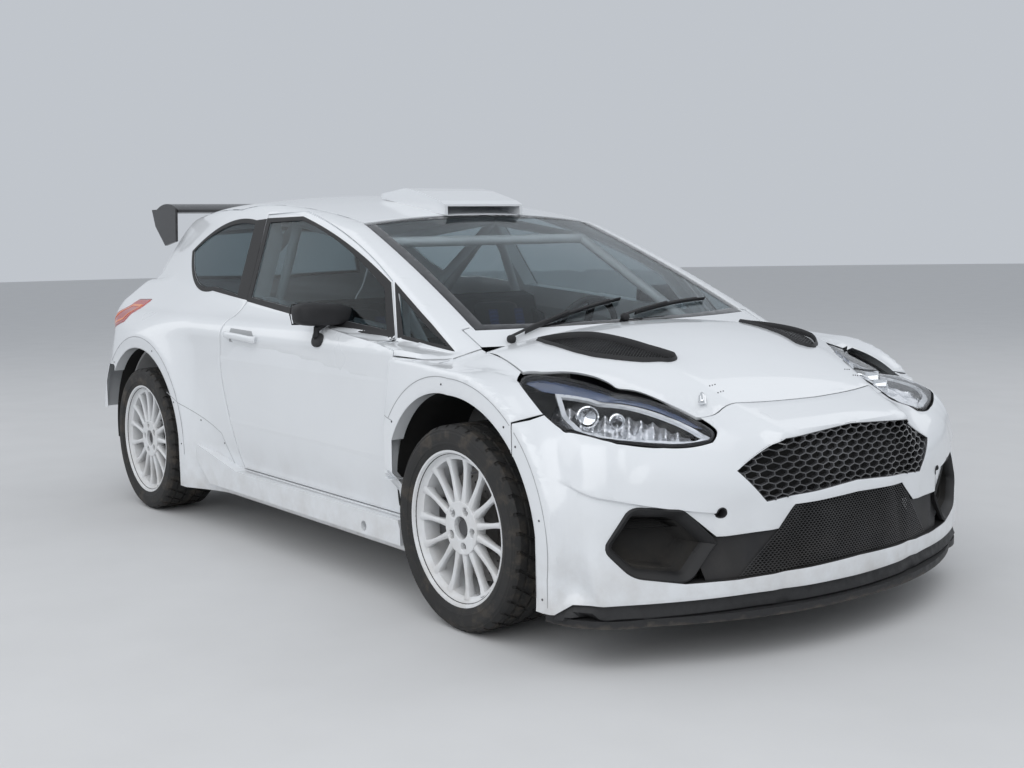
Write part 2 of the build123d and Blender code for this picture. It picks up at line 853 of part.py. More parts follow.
def make_dashboard():
    side = side_points(
        (540, 700), (524, 800), (600, 862), (960, 862), (1024, 850), (1024, 812),
        (BULKHEAD_X, 812), (BULKHEAD_X, 700),
    )
    dash = side_prism(side, -588, 588)
    shroud_r = SHAFT_R + SHAFT_PLAY + SHROUD_WALL
    shroud = rod(along_column(SHROUD_START), along_column(SHROUD_START + SHROUD_L), shroud_r)
    bore = rod(along_column(SHROUD_START - 10), along_column(SHAFT_L + SHAFT_PLAY), SHAFT_R + SHAFT_PLAY)
    return dash + shroud - bore


def make_steering_wheel():
    plane = Plane(Vector(*WHEEL_CENTRE), x_dir=(0, 1, 0), z_dir=column_dir)
    ring = plane * Torus(STEERING_RING_R, STEERING_GRIP_R)
    for angle in (0, 180, 270):
        bar = Rot(0, 0, angle) * Pos(STEERING_RING_R / 2, 0, 0) * Box(STEERING_RING_R, 36, 8)
        ring += plane * bar
    ring += plane * Cylinder(42, 24)
    return ring + rod(WHEEL_CENTRE, along_column(SHAFT_L), SHAFT_R)


parts["dashboard"] = make_dashboard()
parts["steering_wheel"] = make_steering_wheel()


def make_engine():
    return block((870, -330, 186), (1480, 330, 750)) + block((1120, -440, 240), (1220, 440, 290))


def make_exhaust():
    pipe = rod(stretch((760, 0, 215)), stretch((-2030, 0, 215)), PIPE_R)
    return pipe + rod(stretch((-1690, 0, 225)), stretch((-1940, 0, 225)), SILENCER_R)


parts["engine"] = make_engine()
parts["exhaust"] = make_exhaust()

# Wheels, brakes and suspension, each drawn about the middle of a left-hand wheel


def ring_about_axle(points):
    """A profile in radius and y, turned about the axle."""
    return revolve(face_of(points), axis=Axis.Y, revolution_arc=360)


def make_tyre():
    half_w = TYRE_W / 2
    bead_y = RIM_HALF_W - FLANGE_T
    wall_r = (TYRE_R + BEAD_R) / 2
    profile = [
        (BEAD_R, -bead_y),
        (RIM_R + 2, -bead_y),
        (wall_r + 4, -half_w, TYRE_R - 16, -half_w + 8),
        (TYRE_R - 4, -half_w + 13, TYRE_R, -half_w + 26),
        (TYRE_R, half_w - 26),
        (TYRE_R - 4, half_w - 13, TYRE_R - 16, half_w - 8),
        (wall_r + 4, half_w, RIM_R + 2, bead_y),
        (BEAD_R, bead_y),
    ]
    return ring_about_axle(profile)


def around_axle(shape, count):
    copies = [Rot(0, 360 / count * index, 0) * shape for index in range(count)]
    return copies[0] + copies[1:]


def make_rim():
    bead_y = RIM_HALF_W - FLANGE_T
    inside_r = BEAD_R - RIM_WALL
    profile = [
        (BEAD_R, -bead_y),
        (RIM_R, -bead_y),
        (RIM_R, -RIM_HALF_W),
        (inside_r, -RIM_HALF_W),
        (inside_r, RIM_HALF_W),
        (RIM_R, RIM_HALF_W),
        (RIM_R, bead_y),
        (BEAD_R, bead_y),
    ]
    rim = ring_about_axle(profile)
    spoke = box_between((HUB_R - 6, SPOKE_BACK, -SPOKE_W / 2), (inside_r + 3, SPOKE_FACE, SPOKE_W / 2))
    rim += around_axle(spoke, SPOKES)
    rim += cross_cylinder(HUB_R, HUB_BACK, HUB_FACE, 0, 0)
    lug = cross_cylinder(LUG_HOLE_R, 0, RIM_HALF_W, LUG_CIRCLE_R, 0)
    return rim - cross_cylinder(HUB_BORE_R, 0, RIM_HALF_W, 0, 0) - around_axle(lug, LUGS)


def make_disc():
    profile = [
        (BELL_R - BELL_WALL, DISC_BACK),
        (DISC_R, DISC_BACK),
        (DISC_R, DISC_FACE),
        (BELL_R, DISC_FACE),
        (BELL_R, HUB_BACK),
        (HUB_BORE_R, HUB_BACK),
        (HUB_BORE_R, HUB_BACK - BELL_WALL),
        (BELL_R - BELL_WALL, HUB_BACK - BELL_WALL),
    ]
    return ring_about_axle(profile)


def make_hub_carrier():
    """A block with a spindle through the wheel's bore, and a caliper over the disc."""
    carrier = box_between(*CARRIER)
    carrier += cross_cylinder(SPINDLE_R, -50, HUB_FACE - 6, 0, 0)
    rear_x = -DISC_R - CALIPER_LIP
    caliper = box_between((rear_x, -44, -58), (CALIPER_DEPTH - DISC_R, DISC_FACE + CALIPER_GAP + 16, 58))
    slot = box_between((rear_x - 5, DISC_BACK - CALIPER_GAP, -70), (-60, DISC_FACE + CALIPER_GAP, 70))
    arm = box_between((-150, -80, -30), (-20, -42, 30))
    clearance = cross_cylinder(DISC_R + CALIPER_GAP, DISC_BACK - CALIPER_GAP, DISC_FACE + CALIPER_GAP, 0, 0)
    return carrier + (caliper - (slot & clearance)) + arm


kingpin_foot = Vector(*KINGPIN_FOOT)
kingpin_dir = (Vector(*KINGPIN_TOP) - kingpin_foot).normalized()
kingpin_length = (Vector(*KINGPIN_TOP) - kingpin_foot).length


def on_kingpin(distance):
    point = kingpin_foot + kingpin_dir * distance
    return (point.X, point.Y, point.Z)


def make_knuckle():
    strut = rod(on_kingpin(STRUT_STANDOFF), on_kingpin(kingpin_length), STRUT_R)
    spring = rod(on_kingpin(kingpin_length * SPRING_SHARE), on_kingpin(kingpin_length), SPRING_R)
    pin = rod(on_kingpin(-EYE_T), on_kingpin(STRUT_STANDOFF), PIN_R)
    return make_hub_carrier() + strut + spring + pin


def at_wheel(shape, axle_x):
    return Pos(axle_x, WHEEL_Y, TYRE_R) * shape


def wheel_point(point, axle_x):
    return (point[0] + axle_x, point[1] + WHEEL_Y, point[2] + TYRE_R)


def make_arms():
    eye_low = wheel_point(on_kingpin(-EYE_T / 2), FRONT_AXLE_X)
    eye_high = wheel_point(on_kingpin(EYE_T / 2), FRONT_AXLE_X)
    eye_mid = wheel_point(on_kingpin(0), FRONT_AXLE_X)
    front = rod(eye_low, eye_high, EYE_R)
    for reach in (-115, 115):
        inner_end = (FRONT_AXLE_X + reach, RAIL_Y - 20, 196)
        front += rod(inner_end, (eye_mid[0], eye_mid[1] - 14, eye_mid[2]), ARM_R)
    front -= box_between((0, 0, 0), (LENGTH, RAIL_Y, HEIGHT))
    pin_low = wheel_point(on_kingpin(-EYE_T * 2), FRONT_AXLE_X)
    pin_high = wheel_point(on_kingpin(EYE_T * 2), FRONT_AXLE_X)
    front -= rod(pin_low, pin_high, PIN_R + PIN_PLAY)
    hub = (REAR_AXLE_X, WHEEL_Y - 80, TYRE_R)
    rear = rod((hub[0], hub[1] - 20, TYRE_R + 40), (REAR_AXLE_X + 12, 610 * SY, TYRE_R + 404), DAMPER_R)
    for reach in (-110, 110):
        rear += rod((REAR_AXLE_X + reach, HOUSE_Y - 20, TYRE_R - 70), (hub[0], hub[1], hub[2] - 30), ARM_R)
    rear -= box_between((-LENGTH, 0, 0), (0, HOUSE_Y, HEIGHT))
    return both(front + (rear - at_wheel(box_between(*CARRIER), REAR_AXLE_X)))


parts["suspension_arms"] = make_arms()
parts["rear_uprights"] = both(at_wheel(make_hub_carrier(), REAR_AXLE_X))

corners = (
    # name, axle, side
    ("front_left", FRONT_AXLE_X, 1),
    ("front_right", FRONT_AXLE_X, -1),
    ("rear_left", REAR_AXLE_X, 1),
    ("rear_right", REAR_AXLE_X, -1),
)
wheel_pieces = {"tyre": make_tyre(), "rim": make_rim(), "brake_disc": make_disc()}
for name, axle_x, side in corners:
    for piece, shape in wheel_pieces.items():
        placed = at_wheel(shape, axle_x)
        parts[f"{piece}_{name}"] = placed if side > 0 else mirrored(placed)
knuckle = at_wheel(make_knuckle(), FRONT_AXLE_X)
parts["knuckle_left"] = knuckle
parts["knuckle_right"] = mirrored(knuckle)

os.makedirs("parts", exist_ok=True)
for name, shape in parts.items():
    export_step(Compound(children=shape.solids()), f"parts/{name}.step")
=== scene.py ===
import math
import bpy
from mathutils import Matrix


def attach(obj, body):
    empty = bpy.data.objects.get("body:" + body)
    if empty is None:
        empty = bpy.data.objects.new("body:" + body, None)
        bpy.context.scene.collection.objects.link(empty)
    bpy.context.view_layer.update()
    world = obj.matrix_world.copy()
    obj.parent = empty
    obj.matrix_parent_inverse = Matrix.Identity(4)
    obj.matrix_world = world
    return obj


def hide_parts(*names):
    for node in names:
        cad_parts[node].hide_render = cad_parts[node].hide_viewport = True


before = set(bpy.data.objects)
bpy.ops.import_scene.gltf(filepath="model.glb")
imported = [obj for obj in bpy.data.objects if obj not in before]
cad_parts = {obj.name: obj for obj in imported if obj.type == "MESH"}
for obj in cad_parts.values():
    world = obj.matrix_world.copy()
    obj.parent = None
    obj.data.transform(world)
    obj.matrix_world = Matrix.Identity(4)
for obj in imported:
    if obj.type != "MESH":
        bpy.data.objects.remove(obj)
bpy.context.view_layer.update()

from fnmatch import fnmatch

import bpy
import numpy as np
from bpy.props import FloatProperty, FloatVectorProperty, IntProperty, PointerProperty
from mathutils import Matrix, Vector
from mathutils.geometry import delaunay_2d_cdt

bl_info = {
    "name": "Rally car builder",
    "version": (1, 0, 0),
    "blender": (4, 5, 0),
    "location": "View3D > Sidebar > Rally Car",
    "description": "Builds a rally hatchback's bodywork, wheels, cabin and lamps around its fixed frame",
    "category": "Object",
}

MM = 0.001

# Camera, solved from the photograph's vanishing points and the car's known sizes
CAMERA_AT = (4.481, -3.142, 1.220)
CAMERA_YAW = 53.05
CAMERA_PITCH = 6.47
CAMERA_ROLL = -1.07
CAMERA_LENS = 46.41

# Skin: the outer surface of the body, as signed distances in millimetres


def path_points(points, step=5.0):
    """Dense points along an outline in millimetres; a point of four numbers is an arc's middle and end."""
    here = complex(*points[0][-2:])
    dense = [here]
    for point in points[1:]:
        end = complex(*point[-2:])
        if len(point) == 2:
            count = max(1, round(abs(end - here) / step))
            dense += [here + (end - here) * i / count for i in range(1, count + 1)]
        else:
            a, b = complex(*point[:2]) - here, end - here
            cross = (a.conjugate() * b).imag
            centre = here + 1j * (abs(a) ** 2 * b - abs(b) ** 2 * a) / (-2 * cross)
            spoke = here - centre
            sweep = np.angle((end - centre) / spoke)
            middle = np.angle((complex(*point[:2]) - centre) / spoke)
            if middle * sweep < 0 or abs(middle) > abs(sweep):
                sweep -= math.copysign(2 * math.pi, sweep)
            count = max(2, round(abs(sweep) * abs(spoke) / step))
            dense += [centre + spoke * np.exp(1j * sweep * i / count) for i in range(1, count + 1)]
        here = end
    return [(p.real, p.imag) for p in dense]


def softened(points, reach):
    """The points of a path with its corners rounded over that many steps each way."""
    path = np.array(points)
    padded = np.concatenate([np.repeat(path[:1], reach, 0), path, np.repeat(path[-1:], reach, 0)])
    kernel = np.hanning(2 * reach + 3)[1:-1]
    kernel /= kernel.sum()
    return np.stack([np.convolve(values, kernel, "valid") for values in padded.T], 1)


class Curve:
    """A height over a run, with its slope, read from a path."""

    def __init__(self, points, reach=4, step=5.0):
        path = softened(path_points(points, step), reach)
        path = path[np.argsort(path[:, 0], kind="stable")]
        self.run, first = np.unique(np.round(path[:, 0], 2), return_index=True)
        self.height = path[first, 1]
        self.slope = np.gradient(self.height, self.run)

    def __call__(self, run):
        return np.interp(run, self.run, self.height)

    def steepness(self, run):
        """How much longer the path is than its run."""
        return np.sqrt(1 + np.interp(run, self.run, self.slope) ** 2)


CROWN_Z = -2600.0
NOSE_X = 2092.0
TAIL_X = -2032.0
SILHOUETTE = Curve([(NOSE_X, 100), (2006, 440), (1974, 654), (1820, 715), (1520, 848, 1060, 910),
                    (620, 1112, 139, 1300), (-560, 1396, -1500, 1352), (-1545, 1340), (-1585, 1312),
                    (-1725, 1165, -1840, 1000), (-1915, 940), (-1940, 760), (-2016, 640), (-2032, 480),],
                   reach=5,)
NOSE_CENTRE_X = 1200.0
TAIL_CENTRE_X = -1500.0
BODY_HALF_W = 864.0
NOSE_PLAN = [(2016, 0), (1950, 430, 1800, 782), (1752, 845, 1640, 862), (1200, 864)]
TAIL_PLAN = [(-1500, 864), (-1700, 850, -1812, 780), (-1980, 480, -2047, 0)]
SECTION = Curve(
    [(60, 800), (200, 822), (300, 838), (560, 868, 800, 858), (868, 848, 905, 800), (1045, 640)], reach=6
)
CABIN_PLAN = Curve([(-2300, 560), (-1900, 650), (-150, 782, 1100, 712), (2300, 540)], reach=2)
BELT = Curve([(-2200, 1010), (-1500, 1045.2), (-540, 966), (1010, 838), (1040, 1000), (1070, 1200)],
             reach=2)
LEAN = 0.45
WAIST_Z = 900.0
CABIN_DROP = 460.0
CABIN_TILT = math.sqrt(1 + LEAN * LEAN)


def polar_table(plan, centre_x):
    """An end of the plan as a radius over the angle about a centre on the middle line."""
    path = softened(path_points(plan), 3)
    angle = np.arctan2(path[:, 1], path[:, 0] - centre_x)
    radius = np.hypot(path[:, 0] - centre_x, path[:, 1])
    order = np.argsort(angle)
    return angle[order], radius[order], np.gradient(radius[order], angle[order])


NOSE_TABLE = polar_table(NOSE_PLAN, NOSE_CENTRE_X)
TAIL_TABLE = polar_table(TAIL_PLAN, TAIL_CENTRE_X)


def round_max(a, b, reach):
    """The larger of two distances, with the edge where they meet rounded."""
    near = np.maximum(reach - np.abs(a - b), 0) / reach
    return np.maximum(a, b) + near * near * reach / 4


def round_min(a, b, reach):
    """The smaller of two distances, with a fillet where they meet."""
    near = np.maximum(reach - np.abs(a - b), 0) / reach
    return np.minimum(a, b) - near * near * reach / 4


def smooth(low, high, value):
    """0 below low, 1 above high, and an even step between."""
    t = np.clip((value - low) / (high - low), 0, 1)
    return t * t * (3 - 2 * t)


def unit(ways):
    """The same directions, one long."""
    return ways / np.linalg.norm(ways, axis=-1, keepdims=True)


def crowned(x, y, z):
    """Distance above the silhouette that is turned about the crown's axis."""
    crown = np.hypot(z - CROWN_Z, y) + CROWN_Z
    over = (crown - SILHOUETTE(x)) / SILHOUETTE.steepness(x)
    return np.maximum(np.maximum(over, TAIL_X - x), x - NOSE_X)


def plan_distance(x, y):
    """Distance outside the body's outline from above."""
    wide = np.abs(y)
    out = wide - BODY_HALF_W
    for (angles, radii, slopes), centre_x, where in (
        (NOSE_TABLE, NOSE_CENTRE_X, x > NOSE_CENTRE_X),
        (TAIL_TABLE, TAIL_CENTRE_X, x < TAIL_CENTRE_X),
    ):
        angle = np.arctan2(wide, x - centre_x)
        radius = np.interp(angle, angles, radii)
        tilt = np.sqrt(1 + (np.interp(angle, angles, slopes) / radius) ** 2)
        out = np.where(where, (np.hypot(x - centre_x, y) - radius) / tilt, out)
    return out


def cabin_distance(x, y, z):
    """Distance outside the leaning sides of the cabin."""
    wide = np.abs(y)
    out = (wide - CABIN_PLAN(x) + LEAN * (z - WAIST_Z)) / CABIN_TILT
    under = (WAIST_Z - CABIN_DROP + LEAN * wide - z) / CABIN_TILT
    return np.maximum(out, under)


# Wheel arches and the flares over them

TYRE_R = 322.5
FRONT_AXLE_X = 1187.0
REAR_AXLE_X = -1306.0
FLARE_Y = 907.0
FRONT_ARCH = [
    (853, 0), (853, 262.5), (903, 633.5, 1187, 740), (1471, 633.5, 1609, 262.5), (1609, 0),
]
REAR_ARCH = [
    (-1722, 0), (-1722, 262.5), (-1590, 633.5, -1306, 740), (-1022, 633.5, -884, 262.5), (-884, 0),
]


def arch_distance(x, z, arch):
    """Distance outwards from a wheel opening, in the side view."""
    path = np.array(path_points(arch, 30.0))
    best = np.full(np.shape(x), 1e9)
    for (ax, az), (bx, bz) in zip(path[:-1], path[1:]):
        dx, dz = bx - ax, bz - az
        t = np.clip(((x - ax) * dx + (z - az) * dz) / (dx * dx + dz * dz), 0, 1)
        best = np.minimum(best, np.hypot(x - ax - t * dx, z - az - t * dz))
    return best


LIP_W = 56.0
FLARE_RISE = 70.0
FLARE_ROOT_Y = 770.0
FLARE_BACK_X = 806.0
FLARE_FRONT_X = 1720.0
FLARE_BACK_Z = 430.0
FLARE_FRONT_Z = 150.0


FAR = 400.0


def only_near(near, distance, *place):
    """A flare's distance worked out only near it; elsewhere it is far away."""
    out = np.full(near.shape, FAR)
    if near.any():
        out[near] = distance(*(np.broadcast_to(v, near.shape)[near] for v in place))
    return out


def front_box(x, y, z):
    """The front flare, before it is blended into the wing."""
    away = arch_distance(x, z, FRONT_ARCH)
    out = np.abs(y) - (FLARE_Y - 0.22 * np.maximum(away - LIP_W, 0))
    top = np.where(x < FRONT_AXLE_X, z - np.interp(x, (805, 1000, FRONT_AXLE_X), (824, 822, 810)),
                   away - FLARE_RISE)
    low = np.where(x < FRONT_AXLE_X, FLARE_BACK_Z, FLARE_FRONT_Z) - z
    ends = np.maximum(FLARE_BACK_X - x, x - FLARE_FRONT_X)
    ends = np.maximum(ends, np.maximum(low, FLARE_ROOT_Y - np.abs(y)))
    return np.maximum(round_max(out, top, 10), ends)


def front_flare(x, y, z):
    """A box over the front wheel: flat on top behind the axle, following the wheel in front of it."""
    near = (x > 730) & (x < 1800) & (np.abs(y) > 695)
    return only_near(near, front_box, x, y, z)


def rear_blister(x, y, z):
    """The rear flare, before it is blended into the side."""
    away = arch_distance(x, z, REAR_ARCH)
    out = np.abs(y) - (FLARE_Y - 0.42 * np.maximum(away - LIP_W, 0))
    over = z - 834 - 0.3 * (FLARE_Y - np.abs(y))
    return np.maximum(round_max(out, np.maximum(over, -1800 - x), 40), 700 - np.abs(y))


def rear_flare(x, y, z):
    """A soft blister over the rear wheel."""
    near = (x > -2040) & (x < -560) & (np.abs(y) > 650) & (z < 920)
    return only_near(near, rear_blister, x, y, z)


def shoulder_reach(x, y):
    """How widely the top rounds into the sides: tight over the cabin, wide above the headlamps."""
    widest = np.interp(x, (1040, 1340, 1520, 1900), (CABIN_SHOULDER, 185, 262, 205))
    return CABIN_SHOULDER + (widest - CABIN_SHOULDER) * smooth(150, 420, np.abs(y))


NOSE_BACK_X = 1500.0
CREASE_Z = 600.0
CREASE_FALL = 0.386
DOOR_CREASE_X = -146.0
DOOR_CREASE_Z = 814.0
DOOR_CREASE_FALL = 0.092
CHIN_FOOT_Z = 148.0
CHIN_TOP_Z = 260.0
CHIN_SLOPE = 0.62


def crease_z(x):
    """The crease along the bumper's side, from the flare to the towing hole."""
    return CREASE_Z - (x - NOSE_BACK_X) * CREASE_FALL


def nose_relief(x, y, z):
    """How far the bumper lies under the plain body: a hollow below its crease and a swell under the lamp."""
    wide = np.abs(y)
    below = crease_z(x) - z
    sides = smooth(1600, 1800, x) * smooth(480, 512, wide)
    hollow = 10 * smooth(0, 9, below) * (1 - smooth(110, 230, below)) * sides
    swell = 8 * np.exp(-(((below + 95) / 55) ** 2)) * smooth(1510, 1640, x) * smooth(300, 480, wide)
    return hollow - swell


def door_relief(x, z):
    """A crease along the door, with a shallow hollow under it."""
    below = DOOR_CREASE_Z - (x - DOOR_CREASE_X) * DOOR_CREASE_FALL - z
    along = smooth(-470, -250, x) * (1 - smooth(620, 790, x))
    return 8 * smooth(0, 14, below) * (1 - smooth(90, 300, below)) * along


def chin(x, y, z):
    """The bumper's lower edge, which runs out towards the splitter."""
    reach = plan_distance(x, y) - 10 + CHIN_SLOPE * (z - 150)
    return np.maximum(np.maximum(reach, CHIN_FOOT_Z - z), np.maximum(z - CHIN_TOP_Z, NOSE_BACK_X - x))


# How widely two surfaces are rounded where they meet, in millimetres
SIDE_ROUND = 12
WAIST_ROUND = 14
CHIN_ROUND = 16
CABIN_SHOULDER = 26
REAR_FLARE_ROUND = 45


def body(x, y, z):
    """Signed distance to the body without its flares: negative inside, in millimetres."""
    top = crowned(x, y, z)
    wide = np.abs(y)
    side = round_max(plan_distance(x, y), (wide - SECTION(z)) / SECTION.steepness(z), SIDE_ROUND)
    lower = round_max(side, (z - BELT(x)) / BELT.steepness(x), WAIST_ROUND)
    shell = round_min(lower, cabin_distance(x, y, z), WAIST_ROUND)
    shell = round_max(top, shell, shoulder_reach(x, y))
    shell = shell + np.where(x > NOSE_BACK_X, nose_relief(x, y, z), door_relief(x, z))
    return round_min(shell, chin(x, y, z), CHIN_ROUND)


def skin(x, y, z):
    """The body with its flares."""
    shell = round_min(body(x, y, z), front_flare(x, y, z), 10 + 52 * smooth(1300, 1560, x))
    return round_min(shell, rear_flare(x, y, z), REAR_FLARE_ROUND)


PANEL_LIFT = 2.5


def raised(by, surface=skin):
    """The same surface, moved outwards."""
    return lambda x, y, z: surface(x, y, z) - by


def proud(by):
    """The surface that stands that far out of the panels."""
    return raised(PANEL_LIFT + by)


bodywork = proud(0)


# Rays: a panel is drawn flat and laid on the skin along parallel rays, or along rays about an upright axis

SCAN_STEPS = 48
HALVINGS = 26


def laid(starts, ways, length, surface):
    """Where rays from outside first meet the skin, as an array of points."""
    low, high = np.zeros(len(starts)), np.full(len(starts), float(length))
    found = np.zeros(len(starts), bool)
    reach = np.linspace(0, length, SCAN_STEPS)
    last = surface(*starts.T)
    for a, b in zip(reach[:-1], reach[1:]):
        value = surface(*(starts + ways * b).T)
        hit = (~found) & (last > 0) & (value <= 0)
        low[hit], high[hit] = a, b
        found |= hit
        last = value
    if not found.all():
        missed = starts[~found][0].round(1)
        raise ValueError(f"{(~found).sum()} of {len(starts)} rays miss the skin, the first from {missed}")
    for _ in range(HALVINGS):
        middle = (low + high) / 2
        inside = surface(*(starts + ways * middle[:, None]).T) <= 0
        high = np.where(inside, middle, high)
        low = np.where(inside, low, middle)
    return starts + ways * ((low + high) / 2)[:, None]


class View:
    """A way of laying flat drawings on the skin."""

    def trace(self, points, surface=bodywork, step=12.0):
        """A line through rough points, laid on the skin."""
        return self.lay(path_points([tuple(p) for p in self.flat(points)], step), surface)


class Flat(View):
    """Parallel rays along one direction; u and v measure across them."""

    def __init__(self, facing, far=1500.0):
        self.out = unit(np.array(facing, float))
        self.u = unit(np.array((1.0, 0.0, 0.0)) - self.out[0] * self.out)
        self.v = np.cross(self.out, self.u)
        self.far = far

    def flat(self, points):
        points = np.asarray(points, float)
        return np.stack([points @ self.u, points @ self.v], 1)

    def facing(self, points):
        return self.out

    def lay(self, spots, surface=bodywork):
        spots = np.asarray(spots, float)
        starts = spots[:, :1] * self.u + spots[:, 1:] * self.v + self.out * self.far
        return laid(starts, np.broadcast_to(-self.out, starts.shape), self.far * 1.6, surface)


class Fan(View):
    """Level rays about an upright axis; u is the arc at a nominal radius and v the height."""

    def __init__(self, axis_x, ahead, radius=800.0, far=1300.0):
        self.axis_x = axis_x
        self.ahead = ahead
        self.radius = radius
        self.far = far

    def flat(self, points):
        points = np.asarray(points, float)
        angle = np.arctan2(points[:, 1], (points[:, 0] - self.axis_x) * self.ahead)
        return np.stack([angle * self.radius, points[:, 2]], 1)

    def facing(self, points):
        return unit((points.mean(0) - (self.axis_x, 0, 0)) * (1, 1, 0))

    def lay(self, spots, surface=bodywork):
        spots = np.asarray(spots, float)
        angle = spots[:, 0] / self.radius
        out = np.stack([np.cos(angle) * self.ahead, np.sin(angle), np.zeros(len(angle))], 1)
        starts = out * self.far + np.stack([np.full(len(angle), self.axis_x), 0 * angle, spots[:, 1]], 1)
        return laid(starts, -out, self.far * 0.95, surface)


TOP_VIEW = Flat((0, 0, 1), far=1600.0)
SIDE_VIEW = Flat((0, 1, 0.3))
DOOR_VIEW = Flat((0, 1, 0.25))
SCREEN_VIEW = Flat((0.55, 0, 0.83))
SHOULDER_VIEW = Flat((0, 0.74, 0.67), far=1700.0)
QUARTER_VIEW = Flat((-0.45, 0.72, 0.53), far=2400.0)
LAMP_VIEW = Flat((0.45, 0.45, 0.77), far=2600.0)
NOSE_FAN = Fan(1200, 1)
TAIL_FAN = Fan(-1500, -1)
HATCH_FAN = Fan(-1200, -1)


def across(spots, side):
    """Spots of (x, z) from the side view, as rays from one side of the car."""
    spots = np.asarray(spots, float)
    starts = np.stack([spots[:, 0], np.full(len(spots), 1000.0 * side), spots[:, 1]], 1)
    return starts, np.broadcast_to(np.array((0.0, -side, 0.0)), starts.shape), 990.0


def down(spots, side):
    """Spots of (x, y) from above."""
    spots = np.asarray(spots, float) * (1, side)
    starts = np.concatenate([spots, np.full((len(spots), 1), 1600.0)], 1)
    return starts, np.broadcast_to(np.array((0.0, 0.0, -1.0)), starts.shape), 1500.0


def along(spots, side, facing=1):
    """Spots of (y, z) from the front, or from the back."""
    spots = np.asarray(spots, float) * (side, 1)
    starts = np.concatenate([np.full((len(spots), 1), 2200.0 * facing), spots], 1)
    return starts, np.broadcast_to(np.array((-1.0 * facing, 0.0, 0.0)), starts.shape), 2190.0


def behind(spots, side):
    """Spots of (y, z) from the back."""
    return along(spots, side, -1)


def whole(points, across_axis):
    """Both halves of an outline drawn from the middle line and back."""

    def flipped(pair):
        return tuple(-v if i == across_axis else v for i, v in enumerate(pair))

    full = list(points)
    for index in range(len(points) - 1, 0, -1):
        target = flipped(points[index - 1][-2:])
        full.append(flipped(points[index][:2]) + target if len(points[index]) == 4 else target)
    return full


def traced(look, spots, side=1, surface=bodywork, step=12.0):
    """An open line drawn in one view, laid on the skin as dense points."""
    return laid(*look(path_points(spots, step), side), surface)


def on_skin(outline, look, side=1, surface=bodywork, step=12.0):
    """A closed outline drawn in one view, laid on the skin as dense points."""
    return traced(look, list(outline) + [outline[0][-2:]], side, surface, step)[:-1]


def spot_on(look, spot, surface=bodywork):
    """One spot of a view, laid on the skin."""
    return laid(*look([spot], 1), surface)[0]


def even_path(outline, step):
    """A closed outline's dense points in its own plane."""
    return np.array(path_points(list(outline) + [outline[0][-2:]], step))[:-1]


def joined(*pieces):
    """One ring of points from several lines, without doubled points."""
    ring = np.concatenate(pieces)
    return ring[np.linalg.norm(ring - np.roll(ring, 1, 0), axis=1) > 2.0]


def both_halves(half):
    """A ring across the car from its left half, which starts and ends on the middle line."""
    return joined(half, (half * (1, -1, 1))[::-1][1:-1])


def moved_out(outline, by, step=8.0):
    """An outline's dense points moved outwards in its own plane, with its corners kept."""
    path = even_path(outline, step)
    path = path[np.abs(path - np.roll(path, 1, 0)).sum(1) > 1e-6]
    area = (path[:, 0] * np.roll(path[:, 1], -1) - np.roll(path[:, 0], -1) * path[:, 1]).sum()
    ahead = unit(np.roll(path, -1, 0) - path)
    normal = np.stack([ahead[:, 1], -ahead[:, 0]], 1) * math.copysign(1, area)
    before = np.roll(normal, 1, 0)
    share = (normal + before) / np.maximum(1 + (normal * before).sum(1), 0.3)[:, None]
    return [tuple(p) for p in path + by * share]


def inside(spots, ring):
    """Which spots lie within a ring of points, both in the flat."""
    x, y = spots[:, :1], spots[:, 1:]
    ax, ay = ring[:, 0], ring[:, 1]
    bx, by = np.roll(ax, -1), np.roll(ay, -1)
    crossing = (ay > y) != (by > y)
    reach = (bx - ax) * (y - ay) / np.where(by == ay, 1, by - ay) + ax
    return (crossing & (x < reach)).sum(1) % 2 == 1


def ring_distance(spots, ring):
    """How far each spot is from a ring's nearest edge."""
    best = np.full(len(spots), 1e9)
    for a, b in zip(ring, np.roll(ring, -1, 0)):
        way = b - a
        t = np.clip(((spots - a) @ way) / max(way @ way, 1e-9), 0, 1)
        best = np.minimum(best, np.hypot(*(spots - a - t[:, None] * way).T))
    return best


def filled(rings, spacing, creases=()):
    """Triangles that fill the first ring, less the others, on an even grid with edges along the creases."""
    low, high = rings[0].min(0), rings[0].max(0)
    u, v = [np.arange(a + spacing / 2, b, spacing) for a, b in zip(low, high)]
    grid = np.stack(np.meshgrid(u, v), -1).reshape(-1, 2)

    def enclosed(places):
        keep = inside(places, rings[0])
        for ring in rings[1:]:
            keep &= ~inside(places, ring)
        return keep

    grid = grid[enclosed(grid)]
    for ring in rings:
        grid = grid[ring_distance(grid, ring) > spacing * 0.4]
    for line in creases:
        grid = grid[ring_distance(grid, np.concatenate([line, line[-2:0:-1]])) > spacing * 0.35]
    spots, edges = [], []
    for line, closed in [(ring, True) for ring in rings] + [(line, False) for line in creases]:
        first, count = len(spots), len(line)
        spots += [tuple(p) for p in line]
        edges += [(first + i, first + (i + 1) % count) for i in range(count if closed else count - 1)]
    spots += [tuple(p) for p in grid]
    made = delaunay_2d_cdt([Vector(p) for p in spots], edges, [], 0, 1e-4)
    points = np.array([tuple(p) for p in made[0]])
    faces = np.array([tuple(f) for f in made[2]])
    faces = faces[enclosed(points[faces].mean(1))]
    used, faces = np.unique(faces, return_inverse=True)
    return points[used], faces.reshape(-1, 3)


def faced(points, faces, way):
    """The faces, turned over if together they look away from a direction."""
    faces = np.asarray(faces)
    a, b, c = (points[faces[:, i]] for i in range(3))
    return faces[:, ::-1] if (np.cross(b - a, c - a) @ way).sum() < 0 else faces


